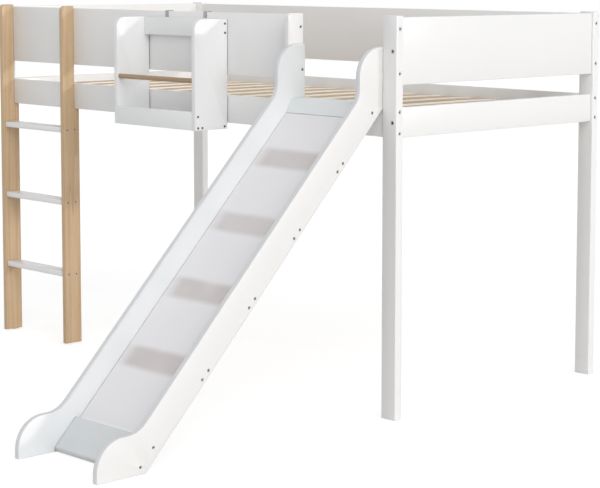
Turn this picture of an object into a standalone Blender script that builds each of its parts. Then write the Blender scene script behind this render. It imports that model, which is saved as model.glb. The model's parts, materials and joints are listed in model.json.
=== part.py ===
"""Loft bed with a slide, a ladder and a shelf that hangs on the guard board.

Every wooden board, rung, slat, hook and main bolt is a solid of its own. Metres, +Z up, the slide runs
towards -Y and the ladder stands at the left end of the long front side. The origin lies on the floor in
the middle of the room that the whole object takes up.
"""

import math

import bmesh
import bpy
from mathutils import Euler, Matrix, Vector

# Whole bed
BED_LENGTH = 2.056
BED_WIDTH = 0.960
SLIDE_REACH = 1.0645
FIT_GAP = 0.0003
CUT_OVERRUN = 0.004
WELD_DISTANCE = 0.00001

# Posts and boards of the frame
POST_WIDTH = 0.057
POST_DEPTH = 0.028
POST_TOP_REVEAL = 0.005
BOARD_THICKNESS = 0.019
BOARD_INSET = 0.007
RAIL_BOTTOM = 0.853
RAIL_HEIGHT = 0.090
GUARD_GAP = 0.067
GUARD_HEIGHT = 0.200
EDGE_ROUND = 0.0015
EDGE_SEGMENTS = 2
SHARP_ANGLE = math.radians(40.0)

# Upright beside the slide opening
UPRIGHT_THICKNESS = 0.016
UPRIGHT_PROUD = 0.043
UPRIGHT_CORNER = 0.014
UPRIGHT_BOLT_DROP = 0.0035

# Slats and the ledges that carry them
SLAT_COUNT = 15
SLAT_WIDTH = 0.068
SLAT_THICKNESS = 0.008
SLAT_RISE = 0.019
SLAT_FLATNESS = 5
SLAT_SIDE_SPACE = 0.003
SLAT_ROW_SPACE = 0.0095
SLAT_ROW_SHIFT = -0.010
SLAT_SEAT_DROP = 0.051
SLAT_STEPS = 12
LEDGE_DEPTH = 0.020
LEDGE_HEIGHT = 0.025

# Ladder
LADDER_WIDTH = 0.390
LADDER_POST_SPACE = 0.005
LADDER_THICKNESS = 0.017
LADDER_PROUD = 0.0495
LADDER_TOP_REVEAL = 0.003
LADDER_FLOOR_SPACE = 0.007
LADDER_CORNER = 0.018
RUNG_THICKNESS = 0.020
RUNG_DEPTH = 0.054
RUNG_SETBACK = 0.0055
RUNG_BOTTOM_HEIGHT = 0.257
RUNG_UNDER_RAIL = 0.076
RUNG_ROUND = 0.004
RUNG_NAMES = ("bottom", "middle", "top")
RUNG_SCREW_PITCH = 0.033

# Slide: along runs down the slope from the panels' bearing on the rail, above is square to it
SLIDE_ANGLE = math.radians(46.1)
SLIDE_CLEAR = 0.340
PANEL_THICKNESS = 0.017
PANEL_WIDTH = 0.0925
PANEL_BEARING = 0.0023
PANEL_REAR = 0.011
PANEL_CREST_HEIGHT = 0.1775
PANEL_CREST_REACH = 0.1025
PANEL_CREST_ROUND = 0.087
PANEL_NECK_ROUND = 0.060
PANEL_FOOT_HEIGHT = 0.1125
PANEL_FOOT_NECK_ROUND = 0.090
PANEL_FOOT_ROUND = 0.087
PANEL_TOE_ROUND = 0.002
PANEL_REAR_ROUND = 0.006
SHEET_THICKNESS = 0.004
SHEET_LEVEL = 0.0247
SHEET_SIDE_SPACE = 0.0008
BATTEN_COUNT = 4
BATTEN_WIDTH = 0.060
BATTEN_THICKNESS = 0.016
BATTEN_START_SPACE = 0.1773
BATTEN_END_SPACE = 0.2316
BATTEN_SCREW_PITCH = 0.032
START_FOOT = 0.0692
START_HEAD_REACH = 0.046
START_HEAD_RISE = 0.0115
START_THICKNESS = 0.016
START_HEAD_ROUND = 0.004
LANDING_LENGTH = 0.1108
LANDING_THICKNESS = 0.018
LANDING_PROUD = 0.015
LANDING_FLOOR_SPACE = 0.001
LANDING_SCREW_PITCH = 0.064
LANDING_SCREW_DROP = 0.004

# Hanging shelf
SHELF_TO_UPRIGHT = 0.320
SHELF_WIDTH = 0.420
SHELF_DEPTH = 0.136
SHELF_HEIGHT = 0.356
SHELF_BOARD = 0.016
SHELF_TOP_DROP = 0.020
SHELF_CORNER = 0.035
SHELF_RAIL_HEIGHT = 0.060
SHELF_RAIL_THICKNESS = 0.018
SHELF_FRONT_HEIGHT = 0.059
DOWEL_DIAMETER = 0.016
DOWEL_SETBACK = 0.0125
DOWEL_HEIGHT = 0.159
DOWEL_SOCKET = 0.006
DOWEL_SIDES = 24
HOOK_STRIP = 0.0024
HOOK_WIDTH = 0.014
HOOK_INSIDE_REACH = 0.045
HOOK_OUTSIDE_REACH = 0.070
HOOK_FROM_SIDE = 0.111
HOOK_BEND = 0.0012

# Bolts and the round seats drilled for bolts and screws
BOLT_HEAD_DIAMETER = 0.013
BOLT_HEAD_HEIGHT = 0.005
BOLT_HEAD_CHAMFER = 0.001
BOLT_SHANK_DIAMETER = 0.006
BOLT_IN_BOARD = 0.034
BOLT_SHORT_LENGTH = 0.040
BOLT_RECESS = 0.0005
BOLT_SOCKET_DIAMETER = 0.0055
BOLT_SOCKET_DEPTH = 0.003
BOLT_STEPS = 14
RAIL_BOLT_PITCH = 0.064
GUARD_BOLT_PITCH = 0.132
SEAT_DEPTH = 0.002
SCREW_SEAT_DIAMETER = 0.007
PANEL_SEAT_DIAMETER = 0.010
HOLE_SIDES = 14
ARC_STEP = math.radians(10.0)

# Places that follow from the sizes above
BED_RIGHT = BED_LENGTH / 2
BED_LEFT = -BED_RIGHT
BED_FRONT = (SLIDE_REACH - BED_WIDTH) / 2
BED_BACK = BED_FRONT + BED_WIDTH
RAIL_TOP = RAIL_BOTTOM + RAIL_HEIGHT
GUARD_BOTTOM = RAIL_TOP + GUARD_GAP
GUARD_TOP = GUARD_BOTTOM + GUARD_HEIGHT
POST_HEIGHT = GUARD_TOP + POST_TOP_REVEAL
RAIL_MIDDLE = RAIL_BOTTOM + RAIL_HEIGHT / 2
GUARD_MIDDLE = GUARD_BOTTOM + GUARD_HEIGHT / 2
FRONT_FACE = BED_FRONT + BOARD_INSET
FRONT_INNER = FRONT_FACE + BOARD_THICKNESS
BACK_INNER = BED_BACK - BOARD_INSET - BOARD_THICKNESS
RIGHT_INNER = BED_RIGHT - BOARD_INSET - BOARD_THICKNESS
BETWEEN_POSTS = BED_LENGTH - 2 * POST_WIDTH
SEAT_LEVEL = RAIL_TOP - SLAT_SEAT_DROP
SLIDE_RIGHT = BED_RIGHT - POST_WIDTH - FIT_GAP
SLIDE_WIDTH = SLIDE_CLEAR + 2 * PANEL_THICKNESS
SLIDE_LEFT = SLIDE_RIGHT - SLIDE_WIDTH
SLIDE_MIDDLE = SLIDE_RIGHT - SLIDE_WIDTH / 2
UPRIGHT_RIGHT = SLIDE_LEFT - FIT_GAP
UPRIGHT_LEFT = UPRIGHT_RIGHT - UPRIGHT_THICKNESS
LADDER_LEFT = BED_LEFT + POST_WIDTH + LADDER_POST_SPACE
SHELF_RIGHT = UPRIGHT_LEFT - SHELF_TO_UPRIGHT
SHELF_MIDDLE = SHELF_RIGHT - SHELF_WIDTH / 2
SHELF_REAR = FRONT_FACE - HOOK_STRIP - 2 * FIT_GAP
SHELF_BOTTOM = GUARD_TOP - SHELF_TOP_DROP - SHELF_HEIGHT


# Scene and collections
def clear_scene():
    """Remove whatever the open file holds."""
    for item in list(bpy.data.objects):
        bpy.data.objects.remove(item, do_unlink=True)


def new_collection(name):
    """A collection under the scene's own one."""
    collection = bpy.data.collections.new(name)
    bpy.context.scene.collection.children.link(collection)
    return collection


clear_scene()
PARTS = new_collection("loft_bed_with_slide")
CUTTERS = new_collection("cutters")


# Materials
def finish(name, colour, roughness, metallic=0.0):
    """A plain Principled finish."""
    material = bpy.data.materials.new(name)
    material.use_nodes = True
    shader = material.node_tree.nodes["Principled BSDF"]
    shader.inputs["Base Color"].default_value = (*colour, 1.0)
    shader.inputs["Roughness"].default_value = roughness
    shader.inputs["Metallic"].default_value = metallic
    return material


WHITE_LACQUER = finish("white_lacquer", (0.86, 0.86, 0.85), 0.30)
LADDER_WOOD = finish("ladder_wood", (0.50, 0.30, 0.14), 0.50)
SLAT_WOOD = finish("slat_wood", (0.78, 0.60, 0.38), 0.50)
LEDGE_WOOD = finish("ledge_wood", (0.66, 0.50, 0.33), 0.60)
DOWEL_WOOD = finish("dowel_wood", (0.42, 0.24, 0.10), 0.45)
SLIDE_LAMINATE = finish("slide_laminate", (0.76, 0.74, 0.76), 0.22)
GREY_LACQUER = finish("grey_lacquer", (0.52, 0.57, 0.60), 0.30)
DARK_STEEL = finish("dark_steel", (0.10, 0.11, 0.12), 0.40, 1.0)
BOLT_STEEL = finish("bolt_steel", (0.33, 0.34, 0.35), 0.35, 1.0)


# Building blocks
def new_empty(name, place):
    """An empty that carries a group of pieces."""
    empty = bpy.data.objects.new(name, None)
    empty.location = place
    PARTS.objects.link(empty)
    return empty


def new_piece(name, mesh, place, parent, material, turn=0.0):
    """An object with one material, turned about X and placed in its parent's frame."""
    piece = bpy.data.objects.new(name, mesh)
    if not mesh.materials:
        mesh.materials.append(material)
    piece.parent = parent
    piece.location = place
    piece.rotation_euler = (turn, 0.0, 0.0)
    PARTS.objects.link(piece)
    return piece


def round_edges(piece, width, segments=EDGE_SEGMENTS):
    """Round every sharp edge of a piece."""
    bevel = piece.modifiers.new("edge_round", "BEVEL")
    bevel.width = width
    bevel.segments = segments
    bevel.limit_method = "ANGLE"
    bevel.angle_limit = SHARP_ANGLE


def add_board(name, size, place, parent, material, turn=0.0, edge=EDGE_ROUND):
    """A straight board with rounded edges, its middle at the place."""
    shape = bmesh.new()
    bmesh.ops.create_cube(shape, size=1.0, matrix=Matrix.Diagonal((*size, 1.0)))
    mesh = bpy.data.meshes.new(name)
    shape.to_mesh(mesh)
    shape.free()
    piece = new_piece(name, mesh, place, parent, material, turn)
    round_edges(piece, edge)
    return piece


def rounded_outline(corners):
    """Points of a closed outline. Each corner (across, up, radius) with a radius becomes an arc."""
    points = []
    for index, (across, up, radius) in enumerate(corners):
        corner = Vector((across, up))
        if radius == 0:
            points.append(corner)
            continue
        towards_last = (Vector(corners[index - 1][:2]) - corner).normalized()
        towards_next = (Vector(corners[(index + 1) % len(corners)][:2]) - corner).normalized()
        half = towards_last.angle(towards_next) / 2
        centre = corner + (towards_last + towards_next).normalized() * radius / math.sin(half)
        spoke = corner + towards_last * radius / math.tan(half) - centre
        sweep = math.pi - 2 * half
        if towards_last.cross(towards_next) > 0:
            sweep = -sweep
        steps = max(2, math.ceil(abs(sweep) / ARC_STEP))
        for step in range(steps + 1):
            points.append(centre + Matrix.Rotation(sweep * step / steps, 2) @ spoke)
    return points


def outline_mesh(name, points, thickness):
    """A flat outline in the YZ plane, given its thickness along X and closed."""
    curve = bpy.data.curves.new(name, "CURVE")
    curve.dimensions = "2D"
    curve.fill_mode = "BOTH"
    curve.extrude = thickness / 2
    spline = curve.splines.new("POLY")
    spline.points.add(len(points) - 1)
    for spot, point in zip(spline.points, points):
        spot.co = (point[0], point[1], 0.0, 1.0)
    spline.use_cyclic_u = True
    guide = bpy.data.objects.new(name + "_outline", curve)
    CUTTERS.objects.link(guide)
    evaluated = guide.evaluated_get(bpy.context.evaluated_depsgraph_get())
    mesh = bpy.data.meshes.new_from_object(evaluated)
    bpy.data.objects.remove(guide, do_unlink=True)
    shape = bmesh.new()
    shape.from_mesh(mesh)
    bmesh.ops.remove_doubles(shape, verts=shape.verts, dist=WELD_DISTANCE)
    bmesh.ops.recalc_face_normals(shape, faces=shape.faces)
    shape.to_mesh(mesh)
    shape.free()
    mesh.transform(Euler((math.pi / 2, 0.0, math.pi / 2)).to_matrix().to_4x4())
    mesh.materials.clear()
    mesh.name = name
    return mesh


def add_outline_board(name, corners, thickness, place, parent, material, edge=EDGE_ROUND):
    """A board cut to an outline in the YZ plane, its middle plane at the place."""
    mesh = outline_mesh(name, rounded_outline(corners), thickness)
    piece = new_piece(name, mesh, place, parent, material)
    round_edges(piece, edge)
    return piece


def drill(piece, holes, label="seats"):
    """Cut round holes that don't touch, each (mouth, inward direction, diameter, depth)."""
    shape = bmesh.new()
    for mouth, inward, diameter, depth in holes:
        inward = Vector(inward)
        middle = Vector(mouth) + inward * (depth - CUT_OVERRUN) / 2
        aim = Vector((0, 0, 1)).rotation_difference(inward).to_matrix().to_4x4()
        bmesh.ops.create_cone(
            shape,
            cap_ends=True,
            segments=HOLE_SIDES,
            radius1=diameter / 2,
            radius2=diameter / 2,
            depth=depth + CUT_OVERRUN,
            matrix=Matrix.Translation(middle) @ aim,
        )
    mesh = bpy.data.meshes.new(f"{piece.name}_{label}")
    shape.to_mesh(mesh)
    shape.free()
    cutter = bpy.data.objects.new(mesh.name, mesh)
    cutter.parent = piece.parent
    cutter.hide_render = True
    cutter.display_type = "WIRE"
    CUTTERS.objects.link(cutter)
    cut = piece.modifiers.new(label, "BOOLEAN")
    cut.operation = "DIFFERENCE"
    cut.solver = "EXACT"
    cut.object = cutter


# Frame
def bolt_levels():
    """Heights of the four bolts that hold a rail and a guard board to a post."""
    return [
        RAIL_MIDDLE - RAIL_BOLT_PITCH / 2,
        RAIL_MIDDLE + RAIL_BOLT_PITCH / 2,
        GUARD_MIDDLE - GUARD_BOLT_PITCH / 2,
        GUARD_MIDDLE + GUARD_BOLT_PITCH / 2,
    ]


def bolt_lengths(back):
    """Lengths of the four bolts. Beside the slide opening the upper two only plug the post."""
    full = POST_WIDTH + BOLT_IN_BOARD
    if back:
        return [full, full, full, full]
    return [full, full, BOLT_SHORT_LENGTH, BOLT_SHORT_LENGTH]


def head_hole_diameter():
    """Diameter of the counterbore that takes a bolt's head."""
    return BOLT_HEAD_DIAMETER + 2 * FIT_GAP


def shank_hole_diameter():
    """Diameter of the bore that takes a bolt's shank."""
    return BOLT_SHANK_DIAMETER + 2 * FIT_GAP


def head_hole_depth():
    """Depth of a counterbore, so that the head lies just under the face."""
    return BOLT_RECESS + BOLT_HEAD_HEIGHT + FIT_GAP


def add_post(name, right, back):
    """One rectangular post with the bolt seats in its two outer faces."""
    side = 1 if right else -1
    x = side * (BED_RIGHT - POST_WIDTH / 2)
    y = BED_BACK - POST_DEPTH / 2 if back else BED_FRONT + POST_DEPTH / 2
    size = (POST_WIDTH, POST_DEPTH, POST_HEIGHT)
    post = add_board(name, size, (x, y, POST_HEIGHT / 2), None, WHITE_LACQUER)
    seats = []
    bores = []
    end_board_x = side * (RIGHT_INNER + BOARD_THICKNESS / 2)
    outer_y = BED_BACK if back else BED_FRONT
    into_y = -1 if back else 1
    for level in (RAIL_MIDDLE, GUARD_MIDDLE):
        seats.append(((end_board_x, outer_y, level), (0, into_y, 0), head_hole_diameter(), SEAT_DEPTH))
    for level, length in zip(bolt_levels(), bolt_lengths(back)):
        mouth = (side * BED_RIGHT, y, level)
        depth = head_hole_depth() if right else SEAT_DEPTH
        seats.append((mouth, (-side, 0, 0), head_hole_diameter(), depth))
        bores.append((mouth, (-side, 0, 0), shank_hole_diameter(), length + CUT_OVERRUN))
    drill(post, seats)
    if right:
        drill(post, bores, "bores")


def add_posts():
    """Four posts, which carry everything."""
    add_post("post_front_right", True, False)
    add_post("post_back_right", True, True)
    add_post("post_back_left", False, True)
    add_post("post_front_left", False, False)


def add_long_board(name, x_from, x_to, back, middle, height, levels=()):
    """A board along the bed. Levels are the bolt bores in its right end."""
    y = (BACK_INNER + BOARD_THICKNESS / 2) if back else (FRONT_FACE + BOARD_THICKNESS / 2)
    size = (x_to - x_from, BOARD_THICKNESS, height)
    board = add_board(name, size, ((x_from + x_to) / 2, y, middle), None, WHITE_LACQUER)
    if levels:
        post_y = BED_BACK - POST_DEPTH / 2 if back else BED_FRONT + POST_DEPTH / 2
        depth = BOLT_IN_BOARD + CUT_OVERRUN
        drill(board, [((x_to, post_y, z), (-1, 0, 0), shank_hole_diameter(), depth) for z in levels])


def add_end_board(name, right, middle, height):
    """A board across an end of the bed, between its two posts."""
    side = 1 if right else -1
    length = BED_WIDTH - 2 * POST_DEPTH - 2 * FIT_GAP
    place = (side * (RIGHT_INNER + BOARD_THICKNESS / 2), (BED_FRONT + BED_BACK) / 2, middle)
    add_board(name, (BOARD_THICKNESS, length, height), place, None, WHITE_LACQUER)


def add_frame_boards():
    """Rails below, guard boards above, on all four sides."""
    left = BED_LEFT + POST_WIDTH + FIT_GAP
    right = -left
    levels = bolt_levels()
    add_long_board("side_rail_front", left, right, False, RAIL_MIDDLE, RAIL_HEIGHT, levels[:2])
    add_long_board("side_rail_back", left, right, True, RAIL_MIDDLE, RAIL_HEIGHT, levels[:2])
    add_long_board("guard_board_back", left, right, True, GUARD_MIDDLE, GUARD_HEIGHT, levels[2:])
    guard_end = UPRIGHT_LEFT - FIT_GAP
    add_long_board("guard_board_front", left, guard_end, False, GUARD_MIDDLE, GUARD_HEIGHT)
    add_end_board("end_rail_right", True, RAIL_MIDDLE, RAIL_HEIGHT)
    add_end_board("end_rail_left", False, RAIL_MIDDLE, RAIL_HEIGHT)
    add_end_board("guard_board_right", True, GUARD_MIDDLE, GUARD_HEIGHT)
    add_end_board("guard_board_left", False, GUARD_MIDDLE, GUARD_HEIGHT)


def add_opening_upright():
    """The upright that closes the guard board and is notched over the rail below."""
    front = FRONT_FACE - UPRIGHT_PROUD
    notch_top = RAIL_TOP + FIT_GAP
    notch_face = FRONT_FACE - FIT_GAP
    corners = [
        (front, RAIL_BOTTOM, 0),
        (notch_face, RAIL_BOTTOM, 0),
        (notch_face, notch_top, 0),
        (FRONT_INNER, notch_top, 0),
        (FRONT_INNER, POST_HEIGHT, 0),
        (front, POST_HEIGHT, UPRIGHT_CORNER),
    ]
    place = (UPRIGHT_LEFT + UPRIGHT_THICKNESS / 2, 0, 0)
    upright = add_outline_board("opening_upright", corners, UPRIGHT_THICKNESS, place, None, WHITE_LACQUER)
    bolt_z = GUARD_MIDDLE - UPRIGHT_BOLT_DROP + GUARD_BOLT_PITCH / 2
    mouth = (UPRIGHT_RIGHT, FRONT_FACE + BOARD_THICKNESS / 2, bolt_z)
    drill(upright, [(mouth, (-1, 0, 0), PANEL_SEAT_DIAMETER, SEAT_DEPTH)])


def bolt_mesh(length):
    """A socket bolt along Z, its head's top at zero."""
    head = BOLT_HEAD_DIAMETER / 2
    shank = BOLT_SHANK_DIAMETER / 2
    socket = BOLT_SOCKET_DIAMETER / 2
    profile = [
        (0.0, -BOLT_SOCKET_DEPTH),
        (socket, -BOLT_SOCKET_DEPTH),
        (socket, 0.0),
        (head - BOLT_HEAD_CHAMFER, 0.0),
        (head, -BOLT_HEAD_CHAMFER),
        (head, -BOLT_HEAD_HEIGHT),
        (shank, -BOLT_HEAD_HEIGHT),
        (shank, -length),
        (0.0, -length),
    ]
    mesh = bpy.data.meshes.new("socket_bolt")
    verts = [(radius, 0.0, height) for radius, height in profile]
    edges = [(index, index + 1) for index in range(len(profile) - 1)]
    mesh.from_pydata(verts, edges, [])
    return mesh


def add_bolts():
    """Four socket bolts in each right hand post."""
    meshes = {}
    for place, back in (("front", False), ("back", True)):
        y = BED_BACK - POST_DEPTH / 2 if back else BED_FRONT + POST_DEPTH / 2
        for index, (level, length) in enumerate(zip(bolt_levels(), bolt_lengths(back))):
            if length not in meshes:
                meshes[length] = bolt_mesh(length)
            name = f"bolt_{place}_{index + 1}"
            spot = (BED_RIGHT - BOLT_RECESS, y, level)
            bolt = new_piece(name, meshes[length], spot, None, BOLT_STEEL)
            bolt.rotation_euler = (0.0, math.pi / 2, 0.0)
            turned = bolt.modifiers.new("turned", "SCREW")
            turned.steps = BOLT_STEPS
            turned.render_steps = BOLT_STEPS
            turned.use_merge_vertices = True
            turned.merge_threshold = WELD_DISTANCE


# Slatted base
def add_ledges():
    """Cleats inside the long rails."""
    size = (BETWEEN_POSTS - 2 * FIT_GAP, LEDGE_DEPTH, LEDGE_HEIGHT)
    z = SEAT_LEVEL - FIT_GAP - LEDGE_HEIGHT / 2
    reach = FIT_GAP + LEDGE_DEPTH / 2
    add_board("slat_ledge_front", size, (0, FRONT_INNER + reach, z), None, LEDGE_WOOD)
    add_board("slat_ledge_back", size, (0, BACK_INNER - reach, z), None, LEDGE_WOOD)


def bowed_slat_mesh():
    """A sprung slat. Its rise is 1 minus a power of the share of half its length, so it curves near its ends."""
    half = (BACK_INNER - FRONT_INNER) / 2 - SLAT_SIDE_SPACE
    lower = []
    upper = []
    for step in range(SLAT_STEPS + 1):
        share = math.sin(math.pi * (step / SLAT_STEPS - 0.5))
        rise = SLAT_RISE * (1 - abs(share) ** SLAT_FLATNESS)
        lower.append((share * half, rise))
        upper.append((share * half, rise + SLAT_THICKNESS))
    return outline_mesh("bowed_slat", lower + upper[::-1], SLAT_WIDTH)


def add_slats():
    """Bowed slats in an even row on the two ledges."""
    mesh = bowed_slat_mesh()
    row = BETWEEN_POSTS - 2 * SLAT_ROW_SPACE - SLAT_WIDTH
    for index in range(SLAT_COUNT):
        x = row * (index / (SLAT_COUNT - 1) - 0.5) + SLAT_ROW_SHIFT
        place = (x, (FRONT_INNER + BACK_INNER) / 2, SEAT_LEVEL)
        slat = new_piece(f"slat_{index + 1:02d}", mesh, place, None, SLAT_WOOD)
        round_edges(slat, SLAT_THICKNESS / 4, 1)


# Ladder
def rung_level(index):
    """Height of a rung's middle. The rungs stand evenly from the first one up to just under the rail."""
    share = index / (len(RUNG_NAMES) - 1)
    last = RAIL_BOTTOM - RUNG_UNDER_RAIL
    return RUNG_BOTTOM_HEIGHT + share * (last - RUNG_BOTTOM_HEIGHT)


def add_ladder_side(name, x, outward, ladder):
    """A side board that is deeper under the rail, so that the rail sits on its shoulder."""
    front = FRONT_FACE - LADDER_PROUD
    shoulder = RAIL_BOTTOM - FIT_GAP
    corners = [
        (front, LADDER_FLOOR_SPACE, 0),
        (FRONT_INNER, LADDER_FLOOR_SPACE, 0),
        (FRONT_INNER, shoulder, 0),
        (FRONT_FACE - FIT_GAP, shoulder, 0),
        (FRONT_FACE - FIT_GAP, POST_HEIGHT + LADDER_TOP_REVEAL, 0),
        (front, POST_HEIGHT + LADDER_TOP_REVEAL, LADDER_CORNER),
    ]
    side = add_outline_board(name, corners, LADDER_THICKNESS, (x, 0, 0), ladder, LADDER_WOOD)
    rung_middle = front + RUNG_SETBACK + RUNG_DEPTH / 2
    holes = []
    for index in range(len(RUNG_NAMES)):
        for shift in (-RUNG_SCREW_PITCH / 2, RUNG_SCREW_PITCH / 2):
            mouth = (x + outward * LADDER_THICKNESS / 2, rung_middle + shift, rung_level(index))
            holes.append((mouth, (-outward, 0, 0), SCREW_SEAT_DIAMETER, SEAT_DEPTH))
    drill(side, holes)


def add_ladder():
    """Two side boards and three rungs."""
    ladder = new_empty("ladder", (LADDER_LEFT + LADDER_WIDTH / 2, 0, 0))
    reach = (LADDER_WIDTH - LADDER_THICKNESS) / 2
    add_ladder_side("ladder_side_left", -reach, -1, ladder)
    add_ladder_side("ladder_side_right", reach, 1, ladder)
    size = (LADDER_WIDTH - 2 * LADDER_THICKNESS - 2 * FIT_GAP, RUNG_DEPTH, RUNG_THICKNESS)
    y = FRONT_FACE - LADDER_PROUD + RUNG_SETBACK + RUNG_DEPTH / 2
    for index, name in enumerate(RUNG_NAMES):
        place = (0, y, rung_level(index))
        add_board("ladder_rung_" + name, size, place, ladder, WHITE_LACQUER, edge=RUNG_ROUND)


# Slide
def bearing():
    """Where the panels' back edge starts, just in front of the rail's top."""
    return Vector((FRONT_FACE - PANEL_BEARING, RAIL_TOP + FIT_GAP))


def slope_point(along, above):
    """A point (y, z) of the slide, along the slope and square to it."""
    down = Vector((-math.cos(SLIDE_ANGLE), -math.sin(SLIDE_ANGLE)))
    up = Vector((-math.sin(SLIDE_ANGLE), math.cos(SLIDE_ANGLE)))
    return bearing() + along * down + above * up


def along_at_height(height, above):
    """How far along the slope the line at this distance above it reaches a height."""
    return (bearing().y + above * math.cos(SLIDE_ANGLE) - height) / math.sin(SLIDE_ANGLE)


def along_at_reach(y, above):
    """How far along the slope the line at this distance above it reaches a place from front to back."""
    return (bearing().x - above * math.sin(SLIDE_ANGLE) - y) / math.cos(SLIDE_ANGLE)


def panel_corners():
    """Outline of a slide side: upright crest at the top, straight flank, rounded foot."""
    rear = FRONT_FACE + PANEL_REAR
    crest_front = FRONT_FACE - PANEL_CREST_REACH
    crest_top = RAIL_TOP + FIT_GAP + PANEL_CREST_HEIGHT
    toe = BED_FRONT - SLIDE_REACH
    heel = slope_point(along_at_height(0.0, 0.0), 0.0)
    foot_neck = slope_point(along_at_height(PANEL_FOOT_HEIGHT, PANEL_WIDTH), PANEL_WIDTH)
    neck = slope_point(along_at_reach(crest_front, PANEL_WIDTH), PANEL_WIDTH)
    return [
        (rear, bearing().y, 0),
        (*bearing(), 0),
        (*heel, 0),
        (toe, 0.0, PANEL_TOE_ROUND),
        (toe, PANEL_FOOT_HEIGHT, PANEL_FOOT_ROUND),
        (*foot_neck, PANEL_FOOT_NECK_ROUND),
        (*neck, PANEL_NECK_ROUND),
        (crest_front, crest_top, PANEL_CREST_ROUND),
        (rear, crest_top, PANEL_REAR_ROUND),
    ]


def batten_above():
    """Distance of the battens' middle from the panels' back edge."""
    return SHEET_LEVEL - SHEET_THICKNESS - FIT_GAP - BATTEN_THICKNESS / 2


def landing_above():
    """Distance of the landing board's middle from the panels' back edge."""
    return SHEET_LEVEL + LANDING_PROUD - LANDING_THICKNESS / 2


def landing_end():
    """Where the landing board's round nose has its centre, just clear of the floor."""
    return along_at_height(LANDING_THICKNESS / 2 + LANDING_FLOOR_SPACE, landing_above())


def landing_start():
    """Where the landing board begins, along the slope."""
    return landing_end() + LANDING_THICKNESS / 2 - LANDING_LENGTH


def batten_along(index):
    """Place of a batten's middle along the slope. The battens share the sheet's length evenly."""
    share = index / (BATTEN_COUNT - 1)
    first = START_FOOT + BATTEN_START_SPACE
    last = landing_start() - BATTEN_END_SPACE
    return first + share * (last - first)


def start_board_corners():
    """Outline of the steep board at the slide's top, with a lip that lies on the rail."""
    foot = slope_point(START_FOOT, SHEET_LEVEL)
    head = Vector((FRONT_FACE - START_HEAD_REACH, RAIL_TOP + START_HEAD_RISE))
    rise = (head - foot).normalized()
    back = Vector((rise.y, -rise.x)) * START_THICKNESS
    lip_level = bearing().y
    elbow = foot + back + rise * (lip_level - foot.y - back.y) / rise.y
    rear = FRONT_FACE + PANEL_REAR
    return [
        (*foot, 0),
        (*(foot + back), 0),
        (*elbow, 0),
        (rear, lip_level, 0),
        (rear, head.y, 0),
        (*head, START_HEAD_ROUND),
    ]


def landing_corners():
    """Outline of the landing board: square at the sheet, a full round nose near the floor."""
    half = LANDING_THICKNESS / 2
    last = landing_end() + half
    corners = []
    for along, above, radius in (
        (landing_start(), half, 0),
        (landing_start(), -half, 0),
        (last, -half, half - FIT_GAP),
        (last, half, half - FIT_GAP),
    ):
        corners.append((*slope_point(along, landing_above() + above), radius))
    return corners


def slide_seats():
    """Places (y, z) of the screws in a slide side, all at the ends of the boards between the sides."""
    seats = []
    for index in range(BATTEN_COUNT):
        for shift in (-BATTEN_SCREW_PITCH / 2, BATTEN_SCREW_PITCH / 2):
            seats.append(slope_point(batten_along(index) + shift, batten_above()))
    landing_middle = (landing_start() + landing_end()) / 2
    for shift in (-LANDING_SCREW_PITCH / 2, LANDING_SCREW_PITCH / 2):
        seats.append(slope_point(landing_middle + shift, landing_above() - LANDING_SCREW_DROP))
    corners = start_board_corners()
    front_middle = (Vector(corners[0][:2]) + Vector(corners[5][:2])) / 2
    back_middle = (Vector(corners[1][:2]) + Vector(corners[2][:2])) / 2
    seats.append((front_middle + back_middle) / 2)
    return seats


def add_slide_side(name, x, outward, slide):
    """A slide side with its screw seats in the outer face."""
    mouth_x = x + outward * PANEL_THICKNESS / 2
    side = add_outline_board(name, panel_corners(), PANEL_THICKNESS, (x, 0, 0), slide, WHITE_LACQUER)
    holes = []
    for y, z in slide_seats():
        holes.append(((mouth_x, y, z), (-outward, 0, 0), PANEL_SEAT_DIAMETER, SEAT_DEPTH))
    return side, holes


def add_slide_sides(slide):
    """Both sides. The left one has a bolt seat inside, where it is held to the opening upright."""
    reach = (SLIDE_CLEAR + PANEL_THICKNESS) / 2
    left, left_holes = add_slide_side("slide_side_left", -reach, -1, slide)
    right, right_holes = add_slide_side("slide_side_right", reach, 1, slide)
    bolt_y = FRONT_FACE + PANEL_REAR / 2
    bolt_z = GUARD_MIDDLE - UPRIGHT_BOLT_DROP - GUARD_BOLT_PITCH / 2
    inner = (-SLIDE_CLEAR / 2, bolt_y - PANEL_SEAT_DIAMETER / 2, bolt_z)
    left_holes.append((inner, (-1, 0, 0), PANEL_SEAT_DIAMETER, SEAT_DEPTH))
    drill(left, left_holes)
    drill(right, right_holes)


def add_slide():
    """Two sides, four battens, the sheet, and the boards at its two ends."""
    slide = new_empty("slide", (SLIDE_MIDDLE, 0, 0))
    add_slide_sides(slide)
    inside = SLIDE_CLEAR - 2 * FIT_GAP
    for index in range(BATTEN_COUNT):
        place = (0, *slope_point(batten_along(index), batten_above()))
        size = (inside, BATTEN_WIDTH, BATTEN_THICKNESS)
        add_board(f"slide_batten_{index + 1}", size, place, slide, LEDGE_WOOD, SLIDE_ANGLE)
    sheet_from = START_FOOT + SHEET_THICKNESS / 4
    sheet_to = landing_start() - FIT_GAP
    middle = slope_point((sheet_from + sheet_to) / 2, SHEET_LEVEL - SHEET_THICKNESS / 2)
    size = (SLIDE_CLEAR - 2 * SHEET_SIDE_SPACE, sheet_to - sheet_from, SHEET_THICKNESS)
    add_board("slide_sheet", size, (0, *middle), slide, SLIDE_LAMINATE, SLIDE_ANGLE, SHEET_THICKNESS / 8)
    place = (0, 0, 0)
    add_outline_board("slide_start_board", start_board_corners(), inside, place, slide, GREY_LACQUER)
    add_outline_board("slide_landing_board", landing_corners(), inside, place, slide, GREY_LACQUER)


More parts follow.
